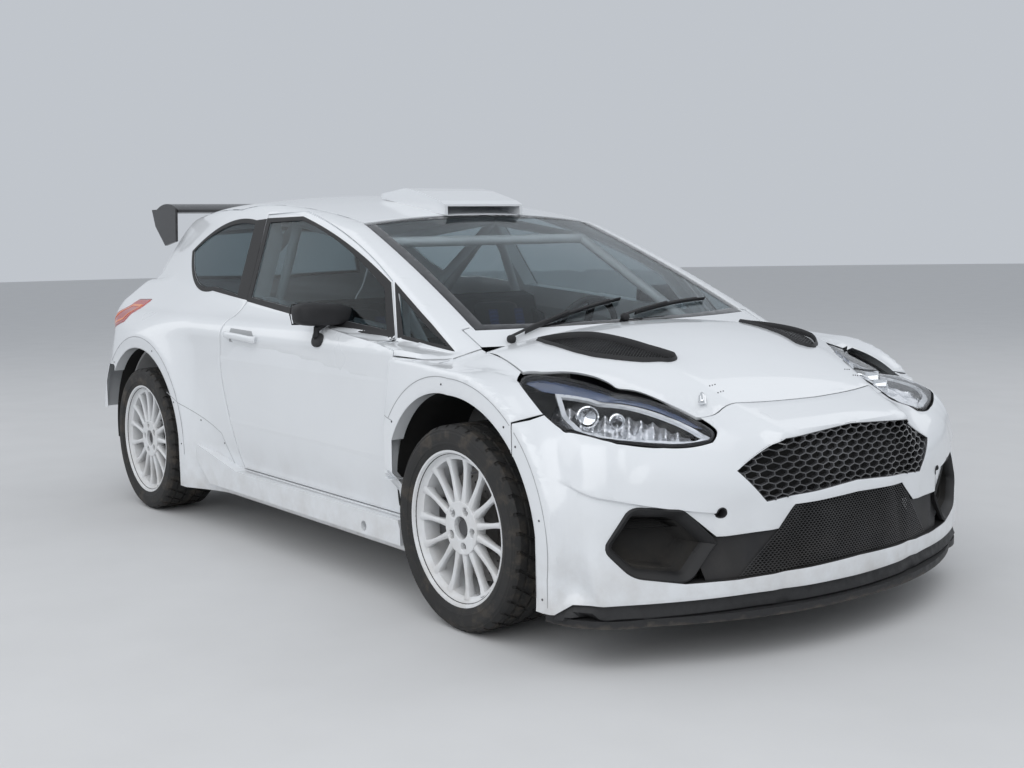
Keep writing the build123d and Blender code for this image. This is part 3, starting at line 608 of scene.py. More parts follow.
def mesh_object(name, points, faces, edges=()):
    """A new mesh object from points in metres."""
    mesh = bpy.data.meshes.new(name)
    mesh.from_pydata([tuple(p) for p in points], edges, [tuple(int(i) for i in f) for f in faces])
    mesh.validate()
    made = bpy.data.objects.new(name, mesh)
    bpy.context.scene.collection.objects.link(made)
    return made


def alone(made):
    """Selects one piece and makes it active."""
    bpy.ops.object.select_all(action="DESELECT")
    made.select_set(True)
    bpy.context.view_layer.objects.active = made


def modified(made, kind, **values):
    """Adds one modifier and applies it."""
    modifier = made.modifiers.new(kind.title(), kind)
    for key, value in values.items():
        setattr(modifier, key, value)
    alone(made)
    bpy.ops.object.modifier_apply(modifier=modifier.name)
    return made


def thickened(made, by, offset=-1, **values):
    """The piece's faces given a thickness in millimetres: inwards, or both ways with an offset of 0."""
    return modified(made, "SOLIDIFY", thickness=by * MM, offset=offset, **values)


def smooth_shaded(made, angle=32.0):
    """Smooth shading, apart from edges that are sharper than an angle in degrees."""
    alone(made)
    bpy.ops.object.shade_smooth_by_angle(angle=math.radians(angle))
    return made


def sheet(name, view, rings, spacing=18.0, thickness=3.0, rim=1.0, surface=bodywork, creases=()):
    """A panel that lies on the skin inside its rings, with a thickness inwards and rounded rims."""
    lines = [view.flat(line) for line in creases]
    spots, faces = filled([view.flat(ring) for ring in rings], spacing, lines)
    points = view.lay(spots, surface)
    made = mesh_object(name, points * MM, faced(points, faces, view.facing(points)))
    thickened(made, thickness, use_even_offset=thickness < 8, use_quality_normals=True)
    if rim:
        modified(made, "BEVEL", width=rim * MM, segments=2, limit_method="ANGLE",
                 angle_limit=math.radians(55))
    return smooth_shaded(made)


def patch(name, view, look, outlines, spacing, thickness, rim, surface):
    """A sheet between outlines that are drawn in one view and laid on the sheet's own surface."""
    rings = [on_skin(outline, look, surface=surface) for outline in outlines]
    return sheet(name, view, rings, spacing, thickness, rim, surface)


def ribbon(name, line, width, surface, thickness=1.4):
    """A narrow strip that follows an open line on the skin."""
    line = np.asarray(line)
    normals = slope_of(surface, line)
    side = np.cross(unit(np.gradient(line, axis=0)), normals)
    rows = [settled(line + side * width * share, surface) for share in (-0.5, 0.0, 0.5)]
    made = grid_piece(name, np.stack(rows), facing=normals.mean(0))
    return smooth_shaded(thickened(made, thickness, use_even_offset=True))


def slope_of(surface, points, by=0.5):
    """Unit normals of the skin at points near it."""
    steps = np.eye(3) * by
    return unit(np.stack([surface(*(points + s).T) - surface(*(points - s).T) for s in steps], 1))


def settled(points, surface):
    """Points moved onto the skin along its normal."""
    for _ in range(4):
        points = points - slope_of(surface, points) * surface(*points.T)[:, None]
    return points


def grid_piece(name, rows, close_rows=False, close_points=False, facing=None, caps=False, floor=False):
    """A mesh of quads from rows of points in millimetres; one with a floor is left to be shaded later."""
    rows = np.asarray(rows, float)
    n, m = rows.shape[:2]
    faces = []
    for i in range(n if close_rows else n - 1):
        for j in range(m if close_points else m - 1):
            a, b = i * m + j, i * m + (j + 1) % m
            c, d = (i + 1) % n * m + (j + 1) % m, (i + 1) % n * m + j
            faces.append((a, b, c, d))
    if caps:
        faces.append(tuple(range(m))[::-1])
    if caps or floor:
        faces.append(tuple((n - 1) * m + j for j in range(m)))
    points = rows.reshape(-1, 3)
    if facing is not None:
        faces = faced(points, faces, facing)
    made = mesh_object(name, points * MM, faces)
    return made if floor else smooth_shaded(made)


def outward(made, merge=True):
    """Closed pieces get their faces turned outwards, and doubled points are merged."""
    alone(made)
    bpy.ops.object.mode_set(mode="EDIT")
    bpy.ops.mesh.select_all(action="SELECT")
    if merge:
        bpy.ops.mesh.remove_doubles(threshold=0.00002)
    bpy.ops.mesh.normals_make_consistent(inside=False)
    bpy.ops.object.mode_set(mode="OBJECT")
    return made


def settled_in_place(made):
    """The piece's place goes into its mesh."""
    alone(made)
    bpy.ops.object.transform_apply(location=True, rotation=True, scale=True)
    return made


def rounded_block(name, low, high, bevel=3.0, segments=3):
    """A block between two corners, with rounded edges."""
    low, high = np.array(low, float), np.array(high, float)
    bpy.ops.mesh.primitive_cube_add(size=1, location=tuple((low + high) / 2 * MM))
    made = bpy.context.object
    made.name = name
    made.scale = tuple((high - low) * MM)
    settled_in_place(made)
    modified(made, "BEVEL", width=bevel * MM, segments=segments, limit_method="ANGLE")
    return smooth_shaded(made, 40)


def turned_piece(name, profile, centre=(0, 0, 0), axis="Y", steps=64):
    """A profile of (radius, along) spun about the Y or the X axis."""
    points = [(r, along, 0) if axis == "Y" else (along, r, 0) for r, along in profile]
    points = (np.array(points, float) + centre) * MM
    made = mesh_object(name, points, [], [(i, i + 1) for i in range(len(points) - 1)])
    alone(made)
    bpy.ops.object.mode_set(mode="EDIT")
    bpy.ops.mesh.select_all(action="SELECT")
    bpy.ops.mesh.spin(steps=steps, angle=2 * math.pi, center=tuple(v * MM for v in centre),
                      axis=tuple(float(axis == k) for k in "XYZ"))
    bpy.ops.object.mode_set(mode="OBJECT")
    return smooth_shaded(outward(made), 35)


def vertices(made):
    """A mesh's points, in millimetres."""
    points = np.empty(len(made.data.vertices) * 3)
    made.data.vertices.foreach_get("co", points)
    return points.reshape(-1, 3) / MM


def reshape(made, points):
    """Gives a mesh new points, in millimetres."""
    made.data.vertices.foreach_set("co", (np.asarray(points) * MM).ravel())
    made.data.update()
    return made


def another(made, name, matrix):
    """A copy with its own mesh, moved by a matrix; its faces still point outwards."""
    mesh = made.data.copy()
    mesh.transform(matrix)
    if matrix.determinant() < 0:
        mesh.flip_normals()
    mesh.name = name
    copy = bpy.data.objects.new(name, mesh)
    bpy.context.scene.collection.objects.link(copy)
    return copy


MIRROR = Matrix.Diagonal((1, -1, 1, 1))


def merged(name, pieces):
    """Several pieces joined as one."""
    bpy.ops.object.select_all(action="DESELECT")
    for piece in pieces:
        piece.select_set(True)
    bpy.context.view_layer.objects.active = pieces[0]
    bpy.ops.object.join()
    pieces[0].name = name
    pieces[0].data.name = name
    return pieces[0]


def finished(made, finish, body, replaced=()):
    """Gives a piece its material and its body."""
    made.data.materials.clear()
    made.data.materials.append(FINISH[finish])
    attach(made, body)
    if replaced:
        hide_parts(*replaced)
    return made


def pair(made, stem, finish, slot, body="shell", replaced=()):
    """Finishes a left-hand piece and its mirror image; {} in the names stands for the side."""
    copy = another(made, stem.format("right"), MIRROR)
    made.name = stem.format("left")
    for piece, side in ((made, "left"), (copy, "right")):
        finished(piece, finish, body.format(side), [name.format(side) for name in replaced])
    return made, copy


# Outlines of panels, in millimetres: (x, z) from the side, (x, y) from above, (y, z) from the front or back

DOOR = [
    (800, 300), (800, 846), (676, 866), (535, 1062), (200, 1203, -270, 1324), (-590, 1318), (-492, 966),
    (-528, 780, -482, 560), (-385, 300),
]
DOOR_WINDOW = [(606, 900), (508, 1038), (196, 1170, -262, 1292), (-548, 1288), (-464, 984)]
DOOR_TRIM = [(671, 871), (532, 1061), (198, 1186, -262, 1307), (-590, 1306), (-494, 968)]
FRONT_QUARTER = [(985, 852), (700, 884), (590, 1036), (840, 916)]
FRONT_TRIM = [(997, 850), (679, 879), (552, 1063), (842, 927)]
FRONT_PANE = [(958, 863), (706, 889), (595, 1027), (836, 911)]
REAR_QUARTER = [(-610, 990), (-692, 1282), (-1090, 1258, -1330, 1168), (-1190, 1062, -900, 1018)]
REAR_TRIM = [(-496, 972), (-595, 1304), (-694, 1300), (-1096, 1276, -1354, 1170), (-1196, 1046, -900, 1001)]
BONNET_SIDE = [
    (1300, 706), (1312, 676, 1332, 660), (1494, 533, 1713, 437), (1762, 427), (1813, 235, 1838, 0),
]
BONNET = whole([(1072, 0), (1072, 676)] + BONNET_SIDE, 1)
VENT = [
    (1122, 502), (1137, 441, 1178, 383), (1207, 364, 1240, 352), (1440, 318), (1522, 290),
    (1544, 306, 1536, 352), (1476, 433, 1400, 500), (1340, 522, 1280, 526), (1190, 520),
]
LAMP = [
    (1320, 728), (1319, 692, 1336, 665), (1500, 538, 1719, 442), (1791, 427),
    (1840, 433, 1864, 474), (1848, 534, 1814, 608), (1770, 688, 1724, 754), (1676, 786, 1600, 800),
    (1474, 795, 1376, 772), (1339, 751, 1320, 728),
]
LAMP_BAND = [
    (1332, 722), (1332, 691, 1352, 657), (1456, 572, 1562, 501), (1678, 456, 1790, 431), (1775, 452),
    (1667, 487), (1553, 548), (1492, 600), (1452, 655), (1396, 706),
]
LAMP_LOOP = [
    (1424, 682), (1454, 642, 1490, 604), (1589, 540, 1712, 480), (1777, 458, 1836, 448),
    (1846, 480, 1836, 530), (1802, 596, 1762, 672), (1710, 734, 1648, 778), (1567, 756, 1500, 724),
]
SCREEN = whole([(1058, 0), (1030, 330, 948, 630), (112, 545), (132, 270, 140, 0)], 1)
ROOF = whole([(134, 0), (126, 270, 104, 536), (-900, 556), (-1500, 500), (-1500, 0)], 1)
REAR_SCREEN = whole([(0, 1285), (440, 1262), (556, 1030), (0, 1012)], 0)
TAIL_LAMP = [(-1490, 950), (-1640, 946), (-1775, 838), (-1752, 800), (-1560, 846)]
UPPER_GRILLE = whole([(0, 644), (279, 627), (440, 547), (354, 452), (0, 475)], 0)
LOWER_OPENING = whole([
    (0, 441), (248, 433), (312, 370), (505, 366), (578, 431), (601, 448, 630, 455), (705, 463),
    (732, 459, 752, 440), (795, 376), (803, 351, 793, 328), (761, 290), (739, 271, 712, 261), (600, 240),
    (440, 236), (0, 250),
], 0)
LOWER_MESH = whole([(0, 436), (244, 428), (432, 240), (0, 254)], 0)
POD = [
    (500, 350), (578, 431), (601, 448, 630, 455), (705, 463), (732, 459, 752, 440), (795, 376),
    (803, 351, 793, 328), (761, 290), (739, 271, 712, 261), (620, 245), (592, 247, 570, 262),
]
INFILL = [(226, 446), (312, 376), (512, 372), (560, 330), (530, 236), (410, 236)]
TOW_HOLE_R = 13.0
SEAM = 5.0
BUMPER_X = 1507.0


# Materials


class Web:
    """Short calls for a node tree: inputs are given by name, as values or as other nodes' outputs."""

    def __init__(self, tree):
        self.tree = tree

    def plug(self, socket, value):
        if isinstance(value, bpy.types.NodeSocket):
            self.tree.links.new(value, socket)
        else:
            socket.default_value = value

    def node(self, kind, settings=None, **inputs):
        made = self.tree.nodes.new("ShaderNode" + kind)
        for key, value in (settings or {}).items():
            setattr(made, key, value)
        for key, value in inputs.items():
            place = int(key[2:]) if key.startswith("at") and key[2:].isdigit() else key.replace("_", " ")
            self.plug(made.inputs[place], value)
        return made

    def place(self):
        return self.node("TexCoord").outputs["Object"]

    def noise(self, vector, scale, detail, **more):
        return self.node("TexNoise", None, Vector=vector, Scale=scale, Detail=detail, **more).outputs[0]

    def maths(self, operation, a, b=0.0, clamp=False):
        return self.node("Math", {"operation": operation, "use_clamp": clamp}, at0=a, at1=b).outputs[0]

    def mixed(self, share, a, b):
        a, b = ((*value, 1) if isinstance(value, tuple) else value for value in (a, b))
        return self.node("Mix", {"data_type": "RGBA"}, at0=share, at6=a, at7=b).outputs[2]

    def spread(self, value, low, high, to_low=0.0, to_high=1.0):
        return self.node("MapRange", None, Value=value, From_Min=low, From_Max=high, To_Min=to_low,
                         To_Max=to_high).outputs[0]


def node_group(name, inputs, outputs):
    """An empty group with its sockets, and short calls for it."""
    tree = bpy.data.node_groups.new(name, "ShaderNodeTree")
    for label, default in inputs:
        socket = tree.interface.new_socket(name=label, in_out="INPUT", socket_type="NodeSocketFloat")
        socket.default_value = default
    for label in outputs:
        tree.interface.new_socket(name=label, in_out="OUTPUT", socket_type="NodeSocketFloat")
    web = Web(tree)
    return tree, web, tree.nodes.new("NodeGroupInput").outputs, tree.nodes.new("NodeGroupOutput").inputs


def make_grain():
    """Fine noise for bumps, and a coarser cloud for colour."""
    tree, web, given, out = node_group("grain", (("Fine Scale", 900.0), ("Cloud Scale", 6.0)),
                                       ("Height", "Cloud"))
    place = web.place()
    fine = web.noise(place, given[0], 3.0)
    cloud = web.noise(place, given[1], 4.0)
    tree.links.new(fine, out[0])
    tree.links.new(web.spread(cloud, 0.3, 0.7), out[1])
    return tree


def make_dust():
    """Road dust: thick near the ground, thin above, broken up by noise."""
    tree, web, given, out = node_group("road_dust", (("Top", 0.5), ("Amount", 0.5)), ("Mask",))
    place = web.place()
    height = web.node("SeparateXYZ", None, Vector=place).outputs[2]
    low = web.spread(height, 0.1, given[0], 1.0, 0.0)
    broken = web.spread(web.noise(place, 9.0, 6.0, Roughness=0.62), 0.38, 0.72)
    mask = web.maths("MULTIPLY", web.maths("MULTIPLY", low, low), broken)
    tree.links.new(web.maths("MULTIPLY", mask, given[1], clamp=True), out[0])
    return tree


def make_weave():
    """A two-by-two twill, as a height and a mask of the tows that run one way."""
    tree, web, given, out = node_group("twill", (("Scale", 260.0),), ("Height", "Tow"))
    turned = web.node("Mapping", None, Vector=web.place(), Rotation=(0.0, 0.0, math.radians(45)))
    x, y, z = web.node("SeparateXYZ", None, Vector=turned.outputs[0]).outputs
    across = web.maths("MULTIPLY", web.maths("ADD", x, z), given[0])
    along = web.maths("MULTIPLY", web.maths("SUBTRACT", y, z), given[0])
    tow = web.maths("GREATER_THAN", web.maths("SINE", web.maths("ADD", across, along)), 0.0)
    warp = web.maths("ABSOLUTE", web.maths("SINE", across))
    weft = web.maths("ABSOLUTE", web.maths("SINE", along))
    height = web.node("Mix", None, at0=tow, at2=warp, at3=weft).outputs[0]
    tree.links.new(height, out[0])
    tree.links.new(tow, out[1])
    return tree


def group_in(web, tree, **values):
    """Puts a group in a tree and gives its outputs."""
    made = web.node("Group", {"node_tree": tree})
    for key, value in values.items():
        made.inputs[key.replace("_", " ")].default_value = value
    return made.outputs


DUST_COLOUR = (0.30, 0.25, 0.19)


def base_finish(name, roughness, metallic=0.0, **sockets):
    """A material with one shader and some of its inputs set."""
    material = bpy.data.materials.new(name)
    material.use_nodes = True
    bsdf = material.node_tree.nodes["Principled BSDF"]
    for socket, value in dict(Roughness=roughness, Metallic=metallic, **sockets).items():
        bsdf.inputs[socket.replace("_", " ")].default_value = value
    return material, Web(material.node_tree), bsdf


def wired(web, bsdf, colour, rough=None, height=None, bump=0.0, distance=0.001):
    """Links a colour, a roughness and a bump to a finish."""
    web.plug(bsdf.inputs["Base Color"], colour)
    if rough is not None:
        web.plug(bsdf.inputs["Roughness"], rough)
    if bump:
        raised_by = web.node("Bump", None, Strength=bump, Distance=distance, Height=height)
        web.plug(bsdf.inputs["Normal"], raised_by.outputs[0])


def surface_finish(name, dark, light, roughness, bump=0.02, fine=900.0, cloud=6.0, dust_top=0.5, dust=0.4,
                   rough_swing=0.12, metallic=0.0, **sockets):
    """A painted, moulded or cast surface: clouded colour, fine grain and road dust near the ground."""
    material, web, bsdf = base_finish(name, roughness, metallic, **sockets)
    grain = group_in(web, GROUPS["grain"], Fine_Scale=fine, Cloud_Scale=cloud)
    mask = group_in(web, GROUPS["dust"], Top=dust_top, Amount=dust)[0]
    colour = web.mixed(mask, web.mixed(grain[1], dark, light), DUST_COLOUR)
    clean = web.spread(grain[1], 0.0, 1.0, roughness - rough_swing / 2, roughness + rough_swing / 2)
    rough = web.maths("ADD", clean, web.maths("MULTIPLY", mask, 0.45), clamp=True)
    wired(web, bsdf, colour, rough, grain[0], bump)
    return material


def woven_finish(name, dark, light, scale, roughness, bump, **sockets):
    """Carbon or cloth: a twill whose tows differ in shade."""
    material, web, bsdf = base_finish(name, roughness, **sockets)
    weave = group_in(web, GROUPS["weave"], Scale=scale)
    wired(web, bsdf, web.mixed(weave[1], dark, light), None, weave[0], bump)
    return material


def glass_finish(name, colour, roughness=0.0, ior=1.45, streaks=0.03):
    """Clear or tinted glass with a faint film of dust."""
    material, web, bsdf = base_finish(name, roughness, Transmission_Weight=1.0, IOR=ior)
    grain = group_in(web, GROUPS["grain"], Fine_Scale=60.0, Cloud_Scale=3.0)
    wired(web, bsdf, web.mixed(grain[1], colour, tuple(min(1.0, c * 1.08) for c in colour)),
          web.spread(grain[0], 0.35, 0.75, roughness, roughness + streaks))
    return material


def tyre_finish():
    """Rubber: black tread, a browner scuffed sidewall with fine rings."""
    material, web, bsdf = base_finish("tyre_rubber", 0.8)
    grain = group_in(web, GROUPS["grain"], Fine_Scale=420.0, Cloud_Scale=26.0)
    scuffs = web.spread(web.noise(web.place(), 14.0, 7.0, Roughness=0.7), 0.5, 0.66)
    rubber = web.mixed(grain[1], (0.012, 0.012, 0.012), (0.03, 0.029, 0.028))
    wired(web, bsdf, web.mixed(scuffs, rubber, (0.060, 0.050, 0.040)),
          web.spread(grain[1], 0.0, 1.0, 0.62, 0.9), grain[0], 0.25)
    return material


def disc_finish():
    """Machined iron: rings about each wheel's axle and heat tint."""
    material, web, bsdf = base_finish("disc_iron", 0.35, 1.0)
    drawn_out = web.node("Mapping", None, Vector=web.place(), Scale=(1.0, 40.0, 1.0)).outputs[0]
    noise = web.noise(drawn_out, 90.0, 5.0)
    wired(web, bsdf, web.mixed(noise, (0.10, 0.095, 0.09), (0.26, 0.25, 0.24)),
          web.spread(noise, 0.2, 0.8, 0.3, 0.5))
    return material


def splitter_finish():
    """A dark board, scraped brown along its lower edge."""
    material, web, bsdf = base_finish("splitter_board", 0.6)
    place = web.place()
    height = web.node("SeparateXYZ", None, Vector=place).outputs[2]
    noise = web.noise(place, 22.0, 8.0, Roughness=0.7)
    edge = web.maths("ADD", web.spread(height, 0.124, 0.146, 0.75, 0.0),
                     web.spread(noise, 0.3, 0.7, -0.45, 0.45))
    colour = web.mixed(web.spread(edge, 0.35, 0.9), (0.018, 0.018, 0.019), (0.075, 0.066, 0.056))
    wired(web, bsdf, colour, web.spread(noise, 0.3, 0.7, 0.45, 0.8), noise, 0.4, 0.002)
    return material


# One row for each plain finish: its key, name, two shades, roughness and whatever else differs
PLAIN_FINISHES = (
    ("inner", "inner_paint", (0.5, 0.5, 0.5), (0.6, 0.6, 0.6), 0.55, dict(dust=0.5)),
    ("cage", "cage_paint", (0.66, 0.67, 0.68), (0.74, 0.75, 0.76), 0.35, dict(dust=0.0, Coat_Weight=0.4)),
    ("gloss", "gloss_black", (0.006, 0.006, 0.007), (0.014, 0.014, 0.016), 0.16,
     dict(bump=0.008, dust=0.12, Coat_Weight=0.8, Coat_Roughness=0.05)),
    ("liner", "arch_liner", (0.008, 0.008, 0.008), (0.02, 0.019, 0.018), 0.9, dict(bump=0.2, dust=0.3)),
    ("seal", "rubber_seal", (0.008, 0.008, 0.009), (0.018, 0.018, 0.019), 0.65,
     dict(bump=0.05, dust=0.1)),
    ("mesh", "black_mesh", (0.02, 0.02, 0.021), (0.05, 0.05, 0.052), 0.35, dict(bump=0.03, dust=0.2)),
    ("honeycomb", "gloss_honeycomb", (0.03, 0.03, 0.032), (0.09, 0.09, 0.095), 0.18,
     dict(bump=0.0, dust=0.1, Coat_Weight=1.0, Coat_Roughness=0.03)),
    ("red", "red_lens", (0.36, 0.010, 0.006), (0.5, 0.02, 0.012), 0.12,
     dict(bump=0.0, dust=0.1, Coat_Weight=1.0, Coat_Roughness=0.03)),
    ("amber", "amber_lens", (0.75, 0.16, 0.01), (0.85, 0.22, 0.02), 0.12,
     dict(bump=0.0, dust=0.1, Coat_Weight=1.0, Coat_Roughness=0.03)),
    ("guide", "lamp_guide_paint", (0.72, 0.74, 0.77), (0.82, 0.84, 0.87), 0.2,
     dict(bump=0.0, dust=0.0, metallic=0.2, Coat_Weight=1.0)),
    ("bowl", "lamp_bowl", (0.55, 0.57, 0.60), (0.85, 0.86, 0.88), 0.12,
     dict(bump=0.0, cloud=40.0, dust=0.0, metallic=0.7)),
    ("chrome", "chrome", (0.75, 0.76, 0.78), (0.86, 0.87, 0.88), 0.08,
     dict(bump=0.0, dust=0.0, rough_swing=0.04, metallic=1.0)),
    ("silver", "silver_paint", (0.62, 0.63, 0.65), (0.72, 0.73, 0.75), 0.25,
     dict(bump=0.0, dust=0.0, metallic=0.55, Coat_Weight=0.8)),
    ("steel", "exhaust_steel", (0.30, 0.27, 0.24), (0.5, 0.48, 0.45), 0.34,
     dict(bump=0.05, fine=300.0, cloud=9.0, dust=0.3, metallic=1.0)),
    ("metal", "cast_metal", (0.06, 0.06, 0.065), (0.14, 0.14, 0.145), 0.5,
     dict(bump=0.25, fine=500.0, dust=0.3, metallic=0.8)),
    ("guard", "guard_plate", (0.34, 0.34, 0.34), (0.55, 0.55, 0.54), 0.45,
     dict(bump=0.15, fine=200.0, cloud=12.0, dust=0.6, metallic=0.9)),
    ("cover", "blue_housing", (0.05, 0.07, 0.13), (0.11, 0.15, 0.26), 0.12,
     dict(bump=0.0, dust=0.0, Coat_Weight=1.0, Coat_Roughness=0.03)),
)


GROUPS = {}
FINISH = {}


def make_finishes(choice):
    """All the groups and materials, from the chosen colours."""
    GROUPS.update(grain=make_grain(), dust=make_dust(), weave=make_weave())
    paint, rim, trim, tint = (
        tuple(c) for c in (choice.paint_colour, choice.rim_colour, choice.trim_colour, choice.glass_tint)
    )

    def shaded(tone, share):
        return tuple(c * share for c in tone)

    for key, name, dark, light, roughness, more in PLAIN_FINISHES:
        FINISH[key] = surface_finish(name, dark, light, roughness, **more)
    FINISH.update(
        paint=surface_finish("white_paint", shaded(paint, 0.965), paint, 0.3, bump=0.012, fine=500.0,
                             cloud=2.0, dust_top=0.55, dust=0.55, rough_swing=0.06, Coat_Weight=0.9,
                             Coat_Roughness=0.04),
        rim=surface_finish("wheel_paint", shaded(rim, 0.94), rim, 0.38, bump=0.02, dust_top=0.75,
                           dust=0.5, Coat_Weight=0.5, Coat_Roughness=0.1),
        # Painted shade: darker body paint that stands for the shadow in the flares' seams and the door
        # handles' recesses
        shade=surface_finish("seam_shade", shaded(paint, 0.42), shaded(paint, 0.5), 0.5, dust=0.3),
        trim=surface_finish("black_plastic", trim, shaded(trim, 1.9), 0.55, bump=0.12, fine=1400.0,
                            dust=0.18, Specular_IOR_Level=0.3),
        carbon=woven_finish("carbon_weave", (0.008, 0.008, 0.009), (0.02, 0.02, 0.022), 900.0, 0.35, 0.25,
                            Coat_Weight=0.5, Coat_Roughness=0.08, Specular_IOR_Level=0.3),
        cloth=woven_finish("seat_cloth", (0.014, 0.014, 0.016), (0.03, 0.03, 0.034), 1500.0, 0.9, 0.6,
                           Sheen_Weight=0.4),
        belt=woven_finish("belt_webbing", (0.02, 0.03, 0.10), (0.03, 0.05, 0.16), 1200.0, 0.7, 0.4),
        tyre=tyre_finish(),
        disc=disc_finish(),
        splitter=splitter_finish(),
        window=glass_finish("tinted_glass", tint, 0.01, 1.2),
        screen=glass_finish("screen_glass", (0.72, 0.78, 0.80), 0.0, 1.2),
        lens=glass_finish("lamp_lens", (0.97, 0.98, 1.0), 0.0, 1.15, 0.01),
    )


# Body panels: the left-hand ones are built and mirrored


def arch_edge(x_low=-9999.0, x_high=9999.0, z_low=0.0, arch=FRONT_ARCH):
    """The edge of a wheel opening between two limits, from its front foot over the top to its rear one."""
    path = [p for p in path_points(arch, 8.0) if x_low <= p[0] <= x_high and p[1] >= z_low]
    return path if path[0][0] > path[-1][0] else path[::-1]


def rear_opening():
    """The rear wheel opening's edge, as far as the rear bumper."""
    return [p for p in arch_edge(-1722, -884, 268, REAR_ARCH) if p[0] > -1610]


def wing_opening():
    """The back part of the front wheel opening, as far as the bumper's seam."""
    return arch_edge(853.5, BUMPER_X - SEAM - 4, 440)


def wing_end(foot_z):
    """The wing's rear edge beside the door, up to the top of its flare."""
    places = [(FLARE_Y, foot_z), (FLARE_Y, 800), (FLARE_Y, 824), (870, 827)]
    return SHOULDER_VIEW.trace([(FLARE_BACK_X, y, z) for y, z in places])


def wing_ring():
    """The left wing's outline on the skin."""
    lamp_side = [(1069, 682), (1297, 712), (1311, 732), (1334, 756, 1374, 778), (1448, 800, 1523, 808)]
    return joined(
        wing_end(FLARE_BACK_Z),
        traced(across, [(FLARE_BACK_X, 829), (1046, 829)]),
        traced(down, [(1046, 846), (1046, 676), (1067, 676), (1069, 682)]),
        traced(down, lamp_side),
        traced(across, [(BUMPER_X - SEAM, 688), (BUMPER_X - SEAM, 600)]),
        traced(across, [(BUMPER_X - SEAM, 596)] + wing_opening() + [(852, FLARE_BACK_Z)]),
        traced(across, [(852, FLARE_BACK_Z), (FLARE_BACK_X, FLARE_BACK_Z)]),
    )


def ridge_guides(ends, z_over, drops=(-14, -6, 0), inwards=(6, 14)):
    """Lines along a flare's upper corner that keep it crisp."""
    places = [(0, drop) for drop in drops] + [(inward, 1) for inward in inwards]
    return [SHOULDER_VIEW.trace([(x, FLARE_Y - inward, z_over(x) + drop) for x in ends])
            for inward, drop in places]


def flare_top(x):
    """The height of the front flare's flat top."""
    return float(np.interp(x, (806, 1000, FRONT_AXLE_X), (824, 822, 810)))


def bumper_opening():
    """The front of the wheel opening, from the seam over the wheel down to the bumper's foot."""
    return [(BUMPER_X + 2, 590)] + arch_edge(BUMPER_X + 3, 1609, 262)[::-1] + [(1609.5, 262), (1609.5, 160)]


def bumper_half():
    """The left half of the front bumper's outline."""
    side = path_points([(1520, 690), (BUMPER_X, 684), (BUMPER_X, 592)], 10)
    return joined(
        traced(down, [(1843, 0), (1818, 229, 1768, 417), (1790, 414), (1843, 426, 1870, 470),
                      (1854, 536, 1819, 612), (1776, 692, 1729, 758), (1678, 791, 1600, 806), (1529, 808)]),
        traced(across, side),
        traced(across, [(BUMPER_X, 592)] + bumper_opening()[1:]),
        NOSE_FAN.trace([(1609.5, 850, 160), (1650, 842, 164), (1690, 828, 190), (1760, 800, 192),
                        (1900, 600, 192), (2016, 0, 192)]),
    )


def circle_points(middle, radius, count=20, start=0.0):
    """Points round a circle in one of the views."""
    turns = start + np.arange(count) * 2 * math.pi / count
    return [(middle[0] + radius * math.cos(t), middle[1] + radius * math.sin(t)) for t in turns]


def both_sides(ring):
    """A ring and its mirror image."""
    return [ring, (ring * (1, -1, 1))[::-1]]


def bumper_holes():
    """The grille, the lower opening and the two towing holes."""
    tow = on_skin(circle_points((496, 434), TOW_HOLE_R), along, step=8)
    return [on_skin(UPPER_GRILLE, along), on_skin(LOWER_OPENING, along)] + both_sides(tow)


def crease_line(drop):
    """The bumper's side crease, or a line that much under it, from the wheel opening to the towing hole."""
    side = traced(across, [(x, crease_z(x) - drop) for x in np.arange(1624, 1780, 12)])
    wide = np.arange(770.0, 512, -10)
    height = np.full(len(wide), 470.0)
    for _ in range(5):
        front = laid(*along(np.stack([wide, height], 1), 1), bodywork)
        height = crease_z(front[:, 0]) - drop
    return np.concatenate([side, front])


def bumper_creases():
    """Lines either side of the bumper's side crease that keep it crisp."""
    lines = []
    for drop in (0, 4.5, 9):
        line = crease_line(drop)
        lines += [line, line * (1, -1, 1)]
    return lines


def side_ring():
    """The left side frame's outline, round the door."""
    door = np.array(moved_out(DOOR, SEAM))
    corners = [np.array((800 + SEAM, z)) for z in (300 - SEAM, 846 + SEAM)]
    around = np.roll(door, -np.argmin(np.abs(door - corners[0]).sum(1)), 0)[::-1]
    around = [tuple(p) for p in around[:np.argmin(np.abs(around - corners[1]).sum(1)) + 1]]
    tail_z = 645.0
    return joined(
        traced(across, [(853, 168), (853, 425), (806, 425), (806, 300)]),
        traced(across, [(800, 295)] + around),
        traced(across, [(806, 851), (806, 833), (1041, 833)]),
        traced(down, [(1041, 843), (1041, 674), (928, 674), (928, 642), (946, 634), (112, 549), (104, 540),
                      (-900, 560), (-1500, 504)]),
        traced(across, [(-1503, 1330), (-1648, 1168), (-1716, 1070)]),
        traced(behind, [(592, 1060), (595, 1000), (593, 780), (565, 650)]),
        TAIL_FAN.trace([(-2000, 565, tail_z), (-1900, 700, tail_z), (-1760, 860, tail_z),
                        (-1700, 900, tail_z), (-1612, 905, tail_z)]),
        traced(across, [(-1602, tail_z - 10)] + rear_opening()[::-1]),
        traced(across, [(-884, 262), (-884, 168), (853, 168)]),
    )


def tailgate_half():
    """The left half of the tailgate's outline."""
    return joined(
        traced(down, [(-1509, 0), (-1509, 498)]),
        traced(across, [(-1509, 1326), (-1654, 1166), (-1723, 1066)]),
        traced(behind, [(586, 1062), (589, 1000), (587, 780), (559, 655), (0, 655)]),
    )


